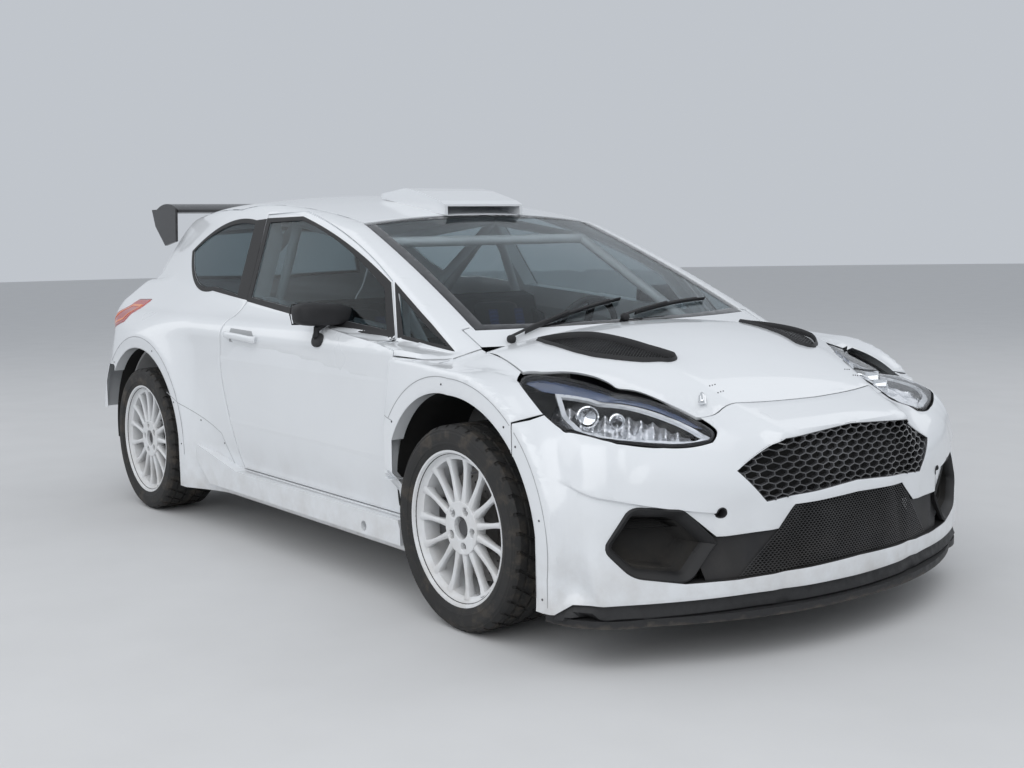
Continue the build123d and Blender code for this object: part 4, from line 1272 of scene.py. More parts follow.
def rear_bumper_half():
    """The left half of the rear bumper's outline."""
    return joined(
        TAIL_FAN.trace([(-2030, 0, 637), (-2000, 500, 637), (-1900, 700, 637), (-1722, 880, 637)]),
        traced(across, [(-1722, 635), (-1722, 430)]),
        TAIL_FAN.trace([(-1722, 880, 428), (-1900, 700, 428), (-1980, 600, 428), (-1990, 560, 300),
                        (-2030, 0, 300)]),
    )


def flange(name, line, inwards=46.0, rows=4):
    """A wall that runs from a line on the skin towards the middle of the car."""
    line = np.asarray(line)
    steps = [line - (0, inwards * share, 0) for share in np.linspace(0, 1, rows)]
    return smooth_shaded(thickened(grid_piece(name, steps), 2.4, 0))


def build_body(choice):
    """Bonnet, roof, wings, bumpers, sides, tailgate and doors."""
    gauge = choice.panel_gauge / MM
    rim = choice.edge_radius / MM
    vents = both_sides(on_skin(VENT, down))
    bonnet = sheet("bonnet_skin", TOP_VIEW, [on_skin(BONNET, down)] + vents, 16, gauge + 8, rim)
    finished(bonnet, "paint", "bonnet", ["bonnet"])
    roof = sheet("roof_skin", TOP_VIEW, [on_skin(ROOF, down)], 20, gauge + 6, rim)
    finished(roof, "paint", "shell", ["roof_panel"])

    creases = ridge_guides(np.linspace(812, 1240, 30), flare_top)
    wing = sheet("wing", SHOULDER_VIEW, [wing_ring()], 13, gauge, rim, creases=creases)
    foot = traced(across, [(852, 431), (806, 431)])
    walls = [flange("wing_walls", wing_end(432)), flange("wing_arch", traced(across, wing_opening())),
             flange("wing_foot", foot, 50)]
    pair(merged("wing", [wing] + walls), "front_wing_skin_{}", "paint", "body_paint",
         replaced=["front_wing_{}"])

    rings = [both_halves(bumper_half())] + bumper_holes()
    bumper = sheet("front_bumper_skin", NOSE_FAN, rings, 13, gauge, rim, creases=bumper_creases())
    walls = flange("bumper_arch", traced(across, bumper_opening()))
    merged("front_bumper_skin", [bumper, walls, another(walls, "bumper_arch_right", MIRROR)])
    finished(bumper, "paint", "shell", ["front_bumper"])
    under = raised(-7)
    foot, top = (
        NOSE_FAN.trace([(1640, 842, z), (1760, 800, z), (1900, 600, z), (2016, 0, z)], surface=under)
        for z in (146, 200)
    )
    ring = both_halves(np.concatenate([foot[::-1], top]))
    dam = sheet("air_dam", NOSE_FAN, [ring], 16, 3, 1, under)
    finished(dam, "splitter", "shell")

    quarters = [on_skin(outline, across) for outline in (REAR_QUARTER, FRONT_QUARTER, TAIL_LAMP)]
    side = sheet("side", QUARTER_VIEW, [side_ring()] + quarters, 17, gauge + 6, rim)
    walls = flange("side_arch", traced(across, rear_opening()))
    pair(merged("side", [side, walls]), "side_skin_{}", "paint", "body_paint",
         replaced=["side_frame_{}", "rear_flare_{}"])

    rings = [both_halves(tailgate_half()), on_skin(REAR_SCREEN, behind)]
    hatch = sheet("tailgate_skin", HATCH_FAN, rings, 17, gauge + 6, rim)
    finished(hatch, "paint", "tailgate", ["tailgate"])
    rear = sheet("rear_bumper_skin", TAIL_FAN, [both_halves(rear_bumper_half())], 17, gauge, rim)
    finished(rear, "paint", "shell", ["rear_bumper"])

    rings = [on_skin(DOOR, across), on_skin(DOOR_WINDOW, across)]
    door = sheet("door", DOOR_VIEW, rings, 15, gauge, rim)
    pair(door, "door_skin_{}", "paint", "body_paint", "{}_door")


# Wheels: made once about an axle along Y, with the outer face at positive Y, and copied to the four corners

WHEEL_Y = 785.0
CORNERS = (
    ("front_left", FRONT_AXLE_X, 1), ("front_right", FRONT_AXLE_X, -1), ("rear_left", REAR_AXLE_X, 1),
    ("rear_right", REAR_AXLE_X, -1),
)
SIDEWALL = [
    (231, 100), (238, 106), (252, 112), (262, 114.6), (263, 116), (268, 116.4), (269, 115.8), (284, 117.2),
    (298, 116.2), (300, 114.6), (306, 113.4), (307, 114.2), (313, 109.5), (318, 104), (321, 99),
]
TREAD_ROWS = (94, 76, 75, 66, 65, 48, 30, 29, 22, 21, 8)
GROOVE_ROWS = ((66, 75), (22, 29))
TREAD_CUTS = (0.0, 0.03, 0.20, 0.23, 0.46, 0.60, 0.74, 0.86)
TREAD_HALF_W = 94
NUT_CIRCLE_R = 60
# Each wheel stands at its own angle about its axle
FIRST_TURN, NEXT_TURN = 0.12, 0.31


def tyre_mesh(choice):
    """A carcass with cut tread: round grooves, slanting grooves and nicks in the shoulder."""
    depth = choice.groove_depth / MM
    rows = [(r, y, False) for r, y in SIDEWALL]
    tread = list(TREAD_ROWS) + [-y for y in reversed(TREAD_ROWS)]
    rows += [(TYRE_R - 1.5 * (abs(y) / TREAD_HALF_W) ** 4, y, True) for y in tread]
    rows += [(r, -y, False) for r, y in reversed(SIDEWALL)]
    lines = []
    for pitch in range(choice.pitches):
        for cut in TREAD_CUTS:
            slot = 0.03 <= cut <= 0.20
            line = []
            for radius, y, on_tread in rows:
                wide = min(abs(y), TREAD_HALF_W)
                slant = 0.011 * wide * (1 if y > 0 else -1) * (1 if wide > 25 else 0.4)
                low = 0.0
                if on_tread:
                    ring = any(a <= wide <= b for a, b in GROOVE_ROWS)
                    low = depth if slot and wide > 8.5 or ring else 0.0
                elif slot and abs(y) < 105 and radius > 315:
                    low = depth * 0.8
                a = (pitch + cut + slant) / choice.pitches * 2 * math.pi
                line.append(((radius - low) * math.cos(a), y, (radius - low) * math.sin(a)))
            lines.append(line)
    made = outward(grid_piece("tyre", lines, close_rows=True), merge=False)
    return smooth_shaded(thickened(made, 6), 30)


SPOKE_STATIONS = (
    # radius, half width, front face, back face
    (66, 15.0, 84.0, 46.0), (92, 12.0, 84.5, 50.0), (125, 9.5, 83.0, 56.0), (160, 8.6, 82.0, 60.0),
    (190, 9.5, 83.0, 58.0), (208, 12.5, 86.0, 54.0), (222, 17.0, 89.0, 48.0),
)


def spoke_mesh():
    """One spoke, upright from the hub to the barrel."""
    rows = []
    for radius, half, front, back in SPOKE_STATIONS:
        right = [(front - 2, 0.86), (front + 1.2, 0.45), (front + 2.2, 0)]
        left = [(y, -share) for y, share in right[1::-1]]
        back_face = [(front - 7, -1), (back + 6, -0.8), (back, -0.5), (back, 0.5), (back + 6, 0.8),
                     (front - 7, 1)]
        rows.append([(radius, y, half * share) for y, share in right + left + back_face])
    return outward(grid_piece("spoke", rows, close_points=True, caps=True))


def wheel_plate(name, rings, spacing, thickness, y=0.0):
    """A flat plate in the wheel's plane between rings of (x, z), its outer face at that Y."""
    spots, faces = filled([np.array(ring) for ring in rings], spacing)
    points = np.stack([spots[:, 0], np.full(len(spots), y), spots[:, 1]], 1)
    return thickened(mesh_object(name, points * MM, faced(points, faces, (0, 1, 0))), thickness)


def spun_copies(made, count, start=0.0):
    """Copies of a piece about the axle; the piece itself goes."""
    copies = []
    for index in range(count):
        turn = Matrix.Rotation(2 * math.pi * (index + start) / count, 4, "Y")
        copies.append(another(made, f"{made.name}_{index}", turn))
    bpy.data.objects.remove(made)
    return copies


def nut_places():
    """The five wheel nuts, as (x, z)."""
    return circle_points((0, 0), NUT_CIRCLE_R, 5, math.pi / 2)


def rim_mesh(choice):
    """A barrel, a hub with five holes and its spokes."""
    barrel = [
        (242, 101), (246, 106), (244, 110), (238, 109), (232, 100), (229, 92), (222, 86), (214, 84),
        (211, 60), (209, 20), (211, -40), (222, -70), (230, -96), (238, -107), (244, -108), (246, -103),
        (242, -98), (232, -90), (222, -60), (216, -38), (215, 20), (217, 50), (224, 72), (233, 90),
        (242, 101),
    ]
    pieces = [turned_piece("rim", barrel, steps=90)] + spun_copies(spoke_mesh(), choice.spokes, 0.5)
    holes = [circle_points((0, 0), 36, 36)] + [circle_points(spot, 14.5, 24) for spot in nut_places()]
    hub = wheel_plate("hub", [circle_points((0, 0), 84, 72)] + holes, 9, 36, 88.0)
    modified(hub, "BEVEL", width=2 * MM, segments=3, limit_method="ANGLE", angle_limit=math.radians(60))
    pieces.append(smooth_shaded(hub))
    return smooth_shaded(merged("rim", pieces), 40)


def hub_metal():
    """Wheel nuts down their holes and a valve."""
    nut = [(0.2, 70), (7, 70), (9.5, 67.5), (9.5, 54)]
    pieces = [turned_piece(f"nut_{index}", nut, (x, 0, z), steps=6)
              for index, (x, z) in enumerate(nut_places())]
    valve = turned_piece("valve", [(0.2, 104), (2.5, 104), (3.6, 102), (3.6, 84)], (0, 0, 204), steps=12)
    return merged("hub_metal", pieces + [valve])


def axle_end():
    """The hub's end, deep in the wheel's bore."""
    return turned_piece("axle_end", [(0.2, 50), (22, 50), (25, 46), (35.5, 46), (35.5, 36)], steps=36)


def disc_mesh():
    """A drilled and vented brake disc with its bell."""
    rings = [circle_points((0, 0), 177, 90), circle_points((0, 0), 90, 60)]
    for index, (radius, count) in enumerate(((112, 18), (132, 24), (152, 24))):
        start = 2 * math.pi * index * 0.35 / count
        rings += [circle_points(spot, 4.0, 8) for spot in circle_points((0, 0), radius, count, start)]
    pieces = [smooth_shaded(wheel_plate(name, rings, 14, 9.0, y))
              for name, y in (("disc_outer", 11.0), ("disc_inner", -8.0))]
    bell = [(92, 2), (92, 12), (88, 20), (84, 50), (31, 50), (31, 45), (79, 45), (84, 2), (92, 2)]
    pieces.append(turned_piece("bell", bell, steps=60))
    pieces += spun_copies(rounded_block("vane", (95, -9, -1.6), (172, 3, 1.6), 0.6, 1), 36)
    return merged("disc", pieces)


def build_wheels(choice):
    """Tyres, rims, nuts and brake discs on the four corners."""
    stock = (
        (tyre_mesh(choice), "tyre_skin_{}", "tyre", "tyre", "tyre_{}"),
        (rim_mesh(choice), "rim_skin_{}", "rim", "rim_paint", "rim_{}"),
        (hub_metal(), "hub_nuts_{}", "metal", "engine_metal", None),
        (axle_end(), "hub_bore_{}", "liner", "black_plastic", None),
        (disc_mesh(), "disc_skin_{}", "disc", "disc_iron", "brake_disc_{}"),
    )
    for made, stem, finish, slot, node in stock:
        for index, (corner, axle_x, side) in enumerate(CORNERS):
            place = Matrix.Translation((axle_x * MM, side * WHEEL_Y * MM, TYRE_R * MM))
            turn = Matrix.Rotation(FIRST_TURN + NEXT_TURN * index, 4, "Y")
            flip = Matrix.Diagonal((1, side, 1, 1))
            copy = another(made, stem.format(corner), place @ flip @ turn)
            finished(copy, finish, f"wheel_{corner}", [node.format(corner)] if node else ())
        bpy.data.objects.remove(made)


def build_liners():
    """Black liners over the front and rear wheels, open towards the wheel."""
    for name, arch, low in (("front", FRONT_ARCH, 330), ("rear", REAR_ARCH, 270)):
        edge = [p for p in path_points(moved_out(path_points(arch, 20.0), 18, 20.0), 25.0) if p[1] > low]
        made = grid_piece("liner", [[(x, y, z) for x, z in edge] for y in (600, 690, 780, 856)])
        pair(smooth_shaded(thickened(made, 3, 0)), name + "_liner_{}", "liner", "black_plastic")


def clipped(a, b, ring):
    """The part of a short line within a ring, or None."""
    ends = inside(np.array([a, b]), ring)
    if not ends.any():
        return None
    if ends.all():
        return a, b
    a, b = (a, b) if ends[0] else (b, a)
    low, high = 0.0, 1.0
    for _ in range(12):
        middle = (low + high) / 2
        spot = a + (b - a) * middle
        low, high = (middle, high) if inside(spot[None], ring)[0] else (low, middle)
    return (a, a + (b - a) * low) if low > 0.05 else None


def hex_lines(outline, cell_w, cell_h, tip):
    """The edges of a honeycomb of flat-sided cells, cut off at an outline of (y, z)."""
    ring = even_path(outline, 8.0)
    low, high = ring.min(0), ring.max(0)
    columns, levels = (int(v) + 3 for v in (high - low) / (cell_w, cell_h))
    lines = []
    for row in range(-levels, levels + 1):
        for column in range(-columns, columns + 1):
            centre = (low + high) / 2 + ((column + 0.5 * (row % 2)) * cell_w, row * cell_h)
            half_w, side, point = cell_w / 2, (cell_h - tip) / 2, (cell_h + tip) / 2
            corner = centre + [(-half_w, side), (0, point), (half_w, side), (half_w, -side), (0, -point)]
            cuts = (clipped(corner[i], corner[i + 1], ring) for i in (0, 1, 2))
            lines += [cut for cut in cuts if cut]
    return lines


BAR_FACES = [(i, 4 + i, 4 + (i + 1) % 4, (i + 1) % 4) for i in range(4)] + [(0, 1, 2, 3), (7, 6, 5, 4)]


def comb_mesh(name, lines, look, surface, width, depth, out):
    """Square bars laid on a surface along the lines of a honeycomb."""
    points, faces = [], []
    out = np.array(out, float)
    starts, ends = (laid(*look([line[end] for line in lines], 1), surface) for end in (0, 1))
    for start, end in zip(starts, ends):
        ahead = unit(end - start)
        side = unit(np.cross(ahead, out))
        first = len(points)
        for place in (start - ahead * width * 0.25, end + ahead * width * 0.25):
            for a, b in ((-1, 1), (1, 1), (1, -1), (-1, -1)):
                points.append(place + side * width / 2 * a + out * (depth / 2 * b))
        faces += [tuple(first + i for i in quad) for quad in BAR_FACES]
    return mesh_object(name, np.array(points) * MM, faces)


def tunnel(name, ring, depth, shrink=1.0, thickness=2.0):
    """A wall that runs back from a ring on the skin."""
    middle = ring.mean(0)
    rows = []
    for share in (0.0, 0.12, 0.55, 1.0):
        inner = middle + (ring - middle) * (1 + (shrink - 1) * share)
        rows.append(inner - (depth * share, 0, 0))
    return smooth_shaded(thickened(grid_piece(name, rows, close_points=True), thickness, 0))


def swept(name, line, level, upright, sides, closed=False):
    """A tube about a line, from the two half axes of its section at each point."""
    turns = np.arange(sides) * 2 * math.pi / sides
    rows = np.stack([line + level * math.cos(a) + upright * math.sin(a) for a in turns], 1)
    return outward(grid_piece(name, rows, close_rows=closed, close_points=True, caps=not closed))


def hoop(name, ring, radius, closed=True, sides=6):
    """A round bead along a line of points."""
    ring = np.asarray(ring, float)
    ahead = unit(np.roll(ring, -1, 0) - np.roll(ring, 1, 0) if closed else np.gradient(ring, axis=0))
    level = unit(np.cross(ahead, np.broadcast_to((0.13, 0.21, 1.0), ahead.shape)))
    return swept(name, ring, level * radius, np.cross(ahead, level) * radius, sides, closed)


POD_RING = 96


def build_grilles():
    """Honeycomb, lower mesh, corner pods, towing rings and the dark panels between."""
    honeycomb = comb_mesh("honeycomb", hex_lines(UPPER_GRILLE, 46, 18, 7), along, raised(-7, body), 3.4,
                          12, (1, 0, 0))
    frame_ring = on_skin(UPPER_GRILLE, along, surface=raised(1.5, body))
    upper = tunnel("upper_frame", frame_ring, 34, 0.985, 5)
    finished(merged("honeycomb", [honeycomb, upper]), "honeycomb", "shell",
             ["upper_grille"])
    for name, outline in (("upper_backing", UPPER_GRILLE), ("lower_backing", LOWER_MESH)):
        back = patch(name, NOSE_FAN, along, [outline], 20, 3, 0, raised(-46, body))
        finished(back, "liner", "shell")
    lower = comb_mesh("lower_mesh", hex_lines(LOWER_MESH, 13, 6.5, 3.5), along, raised(-12, body), 2.0, 5,
                      (1, 0, 0))
    finished(lower, "mesh", "shell", ["lower_grille"])
    walls = tunnel("lower_frame", on_skin(LOWER_OPENING, along, surface=raised(0.5, body)), 42, 0.992, 3)
    finished(walls, "trim", "shell")

    outer, inner = (even_ring(on_skin(moved_out(POD, by), along, surface=raised(lift, body)), POD_RING)
                    for by, lift in ((-2, 4), (-22, -8)))
    middle = inner.mean(0)
    rows = [outer - (16, 0, 0), outer - (3, 0, 0), outer * 0.82 + inner * 0.18 + (3, 0, 0),
            outer * 0.35 + inner * 0.65 + (2, 0, 0), inner - (2, 0, 0),
            middle + (inner - middle) * 0.95 - (14, 0, 0)]
    bezel = thickened(grid_piece("pod_bezel", rows, close_points=True), 2)
    pair(smooth_shaded(bezel, 40), "pod_bezel_{}", "seal", "gloss_black")
    steps = ((14, 0.95), (24, 0.93), (34, 0.90), (36, 0.86), (76, 0.78), (78, 0.74))
    rows = [middle + (inner - middle) * shrink - (depth, 0, 0) for depth, shrink in steps]
    cup = thickened(grid_piece("pod", rows, close_points=True, floor=True), 2)
    slats = []
    for index, z in enumerate((424, 404)):
        left = on_skin([(560, z), (742, z), (742, z - 7), (560, z - 7)], along,
                       surface=raised(-26 - 6 * index, body))
        slat = grid_piece(f"slat_{index}", [left, left - (26, 0, 4)], close_points=True)
        slats.append(smooth_shaded(slat))
    cup = merged("pod", [smooth_shaded(cup, 40)] + slats)
    pair(cup, "pod_{}", "liner", "gloss_black", replaced=["intake_pods"])

    infill = patch("infill", NOSE_FAN, along, [INFILL], 16, 3, 1, raised(-13, body))
    pair(infill, "infill_{}", "trim", "black_plastic")
    tow = on_skin(circle_points((496, 434), TOW_HOLE_R + 1), along, step=5, surface=proud(0))
    pieces = [tunnel("tow", tow, 44, 0.9, 2), hoop("tow_bead", tow, 2.2)]
    pair(merged("tow", pieces), "tow_socket_{}", "trim", "black_plastic")


def resampled(line, shares):
    """Points at those shares of a line's length."""
    reach = np.concatenate([[0], np.cumsum(np.linalg.norm(np.diff(line, axis=0), axis=1))])
    return np.stack([np.interp(shares * reach[-1], reach, line[:, k]) for k in range(3)], 1)


def spread_points(line, count, first=0.04, last=0.96):
    """Evenly spaced points between two shares of a line."""
    return resampled(line, np.linspace(first, last, count))


def even_ring(ring, count):
    """A ring with its points spread evenly, starting nearest its highest point."""
    ring = np.roll(ring, -int(np.argmax(ring[:, 2] - ring[:, 1] * 0.2)), 0)
    return resampled(np.concatenate([ring, ring[:1]]), np.linspace(0, 1, count, endpoint=False))


# Headlamps

LAMP_RING = 120


def build_lamps():
    """Lens, gasket, housing, light guide, reflectors and projector."""
    lens = patch("lens", LAMP_VIEW, down, [moved_out(LAMP, -3)], 14, 2.6, 0.8, raised(0.8, body))
    pair(lens, "lamp_lens_{}", "lens", "lamp_lens", replaced=["headlamps"])
    rings = [on_skin(moved_out(LAMP, by), down, surface=raised(0.2, body)) for by in (-1, -9)]
    gasket = sheet("gasket", LAMP_VIEW, rings, 8, 8, 0.6, raised(-1.9, body))
    pair(gasket, "lamp_gasket_{}", "seal", "black_plastic")

    rim = even_ring(on_skin(moved_out(LAMP, -5), down, surface=raised(-4, body)), LAMP_RING)
    inwards = slope_of(body, rim) * 0.35 + (0.35, 0.3, 0.6)
    middle = rim.mean(0)
    rows = [rim] + [middle + (rim - middle) * shrink - inwards * depth
                    for depth, shrink in ((14, 0.985), (34, 0.95), (52, 0.91))]
    tub = thickened(grid_piece("tub", rows, close_points=True, floor=True), 2, 0)
    pair(smooth_shaded(tub), "lamp_housing_{}", "gloss", "gloss_black")

    under = raised(-9, body)
    band = patch("band", LAMP_VIEW, down, [LAMP_BAND], 12, 2.5, 0.8, under)
    pair(band, "lamp_band_{}", "cover", "gloss_black")
    guide = patch("guide", LAMP_VIEW, down, [LAMP_LOOP, moved_out(LAMP_LOOP, -15)], 8, 9, 2.5, under)
    pair(guide, "lamp_guide_{}", "guide", "rim_paint")

    def fluted(x, y, z):
        way = np.abs(y) - 0.9 * x
        return body(x, y, z) + 24 + 7 * np.abs(np.sin(way / 15.0)) + 4 * np.abs(np.sin((z + x) / 19.0))

    reflector = patch("reflector", LAMP_VIEW, down, [moved_out(LAMP_LOOP, -10)], 5, 2, 0, fluted)
    pair(smooth_shaded(reflector, 18), "lamp_reflector_{}", "bowl", "rim_paint")

    for name, place, radius in (("main", (1556, 668, 684), 29), ("inner", (1628, 618, 672), 20)):
        ring = [(radius * 0.80, 4), (radius, 10), (radius + 4, 8), (radius + 5, 0), (radius + 3, -34),
                (0.2, -40)]
        dome = [(radius * 0.84 * math.sin(a), radius * 0.42 * math.cos(a))
                for a in np.radians((18, 36, 54, 72, 90))]
        dome = [(0.2, radius * 0.42)] + dome + [(0.2, -1)]
        turn = Matrix.Translation(tuple(v * MM for v in place))
        turn = turn @ Matrix.Rotation(math.radians(32), 4, "Z") @ Matrix.Rotation(math.radians(-6), 4, "Y")
        for part, profile, steps, angle, finish, slot in (
            ("bezel", ring, 48, 40, "chrome", "rim_paint"), ("ball", dome, 36, 60, "lens", "lamp_lens"),
        ):
            made = turned_piece(part, profile, axis="X", steps=steps)
            copy = another(made, part + "_at", turn)
            bpy.data.objects.remove(made)
            pair(smooth_shaded(copy, angle), f"lamp_{name}_{part}_" + "{}", finish, slot)


# Trim: window surrounds, seams drawn in painted shade, screws, mirrors, handles with painted shade for their
# recesses, vents, latches and wipers


def trim_ring(stem, outer, inner, *ride):
    """A black surround between two outlines of the side view, and its mirror image."""
    made = patch("surround", SIDE_VIEW, across, [outer, inner], 9, 3.2, 0.7, proud(1.6))
    pair(made, stem, "seal", "black_plastic", *ride)


def build_windows():
    """Black surrounds and borders of the glass."""
    trim_ring("door_window_trim_{}", DOOR_TRIM, moved_out(DOOR_WINDOW, -1), "{}_door")
    trim_ring("rear_quarter_trim_{}", REAR_TRIM, moved_out(REAR_QUARTER, -1))
    trim_ring("front_quarter_trim_{}", FRONT_TRIM, FRONT_PANE)
    inner = whole([(1040, 0), (1010, 320, 930, 590), (136, 508), (158, 260, 166, 0)], 1)
    border = patch("windscreen_border", SCREEN_VIEW, down, [SCREEN, inner], 16, 1.5, 0.4, raised(0.4))
    finished(border, "gloss", "shell")
    inner = whole([(0, 1262), (424, 1240), (530, 1044), (0, 1030)], 0)
    border = patch("rear_screen_border", HATCH_FAN, behind, [moved_out(REAR_SCREEN, 3), inner], 16, 1.5,
                   0.4, raised(3.2))
    finished(border, "gloss", "tailgate")


def screw_heads(name, points, normals, radius=3.4):
    """Flat round screw heads on a surface."""
    rows, faces, count = [], [], 10
    turns = np.arange(count) * 2 * math.pi / count
    steps = ((1, -0.5), (1, 1.0), (0.75, 1.8), (0.3, 1.8), (0.25, 1.0))
    for point, normal in zip(points, normals):
        side = unit(np.cross(normal, (0.2, 0.3, 1.0)))
        other = np.cross(normal, side)
        first = len(rows)
        for share, height in steps:
            rows += [point + (side * math.cos(a) + other * math.sin(a)) * radius * share + normal * height
                     for a in turns]
        for base in range(first, first + 4 * count, count):
            for k in range(count):
                j = (k + 1) % count
                faces.append((base + k, base + j, base + count + j, base + count + k))
        faces.append(tuple(first + 4 * count + k for k in range(count)))
        faces.append(tuple(first + k for k in range(count))[::-1])
    return outward(mesh_object(name, np.array(rows) * MM, faces))


def offset_arch(by, arch, x_low, x_high, z_low):
    """A line at a distance from a wheel opening, between limits."""
    path = moved_out(path_points(arch, 12.0), by, 12.0)
    path = [p for p in path if x_low <= p[0] <= x_high and p[1] >= z_low]
    return path if path[0][0] > path[-1][0] else path[::-1]


# Width of the painted shade strips along the flares' seams
SEAM_SHADE_W = 2.6


def build_arch_trims():
    """Screws along the flares' lips, and the flares' seams as thin strips of painted shade."""
    screws = []
    seams = [traced(across, [(-991, 565), (-554, 427), (-470, 300)], surface=proud(0.5)),
             traced(across, [(809, 640), (862, 628)], surface=proud(0.5))]
    for limits in (
        (FRONT_ARCH, 838, BUMPER_X - SEAM - 2, 445), (FRONT_ARCH, BUMPER_X + 2, 1664, 172),
        (REAR_ARCH, -1640, -830, 300),
    ):
        inner, outer = (offset_arch(by, *limits) for by in (27, 50))
        screws += list(spread_points(traced(across, inner, surface=proud(1.2)), 3))
        seams.append(traced(across, outer, surface=proud(0.5)))
    screws += list(spread_points(seams[0] - (0, 0, 16), 3, 0.12, 0.8))
    screws = settled(np.array(screws), proud(0))
    pair(screw_heads("screws", screws, slope_of(skin, screws)), "flare_screws_{}", "metal", "engine_metal")
    # Each seam is a thin strip of darker paint on the skin: painted shade along the joint
    strips = [ribbon("strip", seam, SEAM_SHADE_W, proud(0.5), 0.8) for seam in seams]
    pair(merged("strips", strips), "flare_seams_{}", "shade", "body_paint")


def superellipsoid(name, middle, half, power=3.0, rows=18, columns=36):
    """A rounded block, from a ball whose curve is squared off."""

    def bent(v):
        return math.copysign(abs(v) ** (2 / power), v)

    ring = [(bent(math.cos(a)), bent(math.sin(a))) for a in np.arange(columns) * 2 * math.pi / columns]
    lines = []
    for b in -math.pi / 2 + math.pi * np.arange(1, rows) / rows:
        wide, high = bent(math.cos(b)), bent(math.sin(b))
        lines.append([np.array(middle) + np.array(half) * (wide * x, wide * y, high) for x, y in ring])
    return smooth_shaded(outward(grid_piece(name, lines, close_points=True, caps=True)), 50)


MIRROR_AT = (288, 829, 947)
MIRROR_HALF = (50, 113, 40)


def build_mirrors():
    """Door mirrors: head, glass, stalk and foot."""
    head = superellipsoid("head", MIRROR_AT, MIRROR_HALF, 3.4)
    points = vertices(head)
    (x, y, z), half_w = MIRROR_AT, MIRROR_HALF[1]
    lean = (points[:, 1] - y) / half_w
    points[:, 2] += 10 * lean * (points[:, 2] > z)
    points[:, 0] -= 10 * lean
    points[:, 0] = np.where(points[:, 0] > x, x + (points[:, 0] - x) * 1.05, points[:, 0])
    reshape(head, points)
    base = spot_on(across, (286, 856))
    spine = [base - (0, 4, 2), base + (1, 8, 14), base + (3, 4, 40), (291, 826, 916), (292, 822, 930)]
    stalk = hoop("stalk", spine, 13, False, 12)
    foot = superellipsoid("foot", (0, 0, 0), (40, 11, 27), 2.2, 14, 32)
    normal = slope_of(skin, base[None])[0]
    tilt = Matrix.Rotation(math.atan2(normal[2], normal[1]), 4, "X")
    foot.data.transform(Matrix.Translation(tuple(base * MM)) @ tilt)
    rim = [(250, 724, 914), (242, 829, 910), (236, 930, 914), (234, 936, 950), (236, 928, 984),
           (242, 829, 984), (250, 726, 974)]
    pieces = [head, stalk, foot, hoop("bead", rim, 3)]
    pair(merged("mirror", pieces), "mirror_body_{}", "trim", "black_plastic", "{}_door", ["mirror_{}"])
    outline = [(728, 918), (926, 916), (932, 950), (924, 978), (829, 980), (730, 970)]
    pair(sheet_plate("mirror_glass", outline, 239, 4), "mirror_glass_{}", "chrome", "lamp_lens", "{}_door")


def sheet_plate(name, outline, x, thickness):
    """A flat plate across the car from an outline of (y, z), facing backwards."""
    spots, faces = filled([even_path(outline, 10.0)], 14)
    points = np.concatenate([np.full((len(spots), 1), float(x)), spots], 1)
    made = mesh_object(name, points * MM, faced(points, faces, (-1, 0, 0)))
    return smooth_shaded(thickened(made, thickness))


def build_door_details():
    """Handles in body colour with painted shade for their recess, and the lock."""
    cup = moved_out([(-440, 812), (-250, 806), (-215, 836), (-250, 862), (-440, 866)], 0)
    # The recess is a thin sheet of darker paint on the door: painted shade, not a hollow
    dish = patch("dish", SIDE_VIEW, across, [cup], 10, 1, 0, proud(0.6))
    pair(dish, "handle_recess_{}", "shade", "body_paint", "{}_door")
    bar = traced(across, [(-460, 842), (-320, 838), (-190, 832)], surface=proud(20))
    ends = [spot_on(across, spot, proud(2))[None] for spot in ((-462, 842), (-188, 832))]
    grip = flat_bar("grip", softened(np.concatenate([ends[0], bar, ends[1]]), 3), 13, 7)
    pair(grip, "door_handle_{}", "paint", "body_paint", "{}_door")
    lock = spot_on(across, (-480, 842), proud(0.5))[None]
    pair(screw_heads("lock", lock, slope_of(skin, lock), 9), "door_lock_{}", "silver", "rim_paint",
         "{}_door")


def flat_bar(name, line, half_height, half_depth, up=(0, 0, 1), sides=12):
    """A bar of oval section along a line."""
    line = np.asarray(line, float)
    ahead = unit(np.gradient(line, axis=0))
    out = unit(np.cross(ahead, np.broadcast_to(np.array(up, float), line.shape)))
    upright = np.cross(out, ahead) * half_height
    return smooth_shaded(swept(name, line, out * half_depth, upright, sides), 50)


VENT_RING = 140


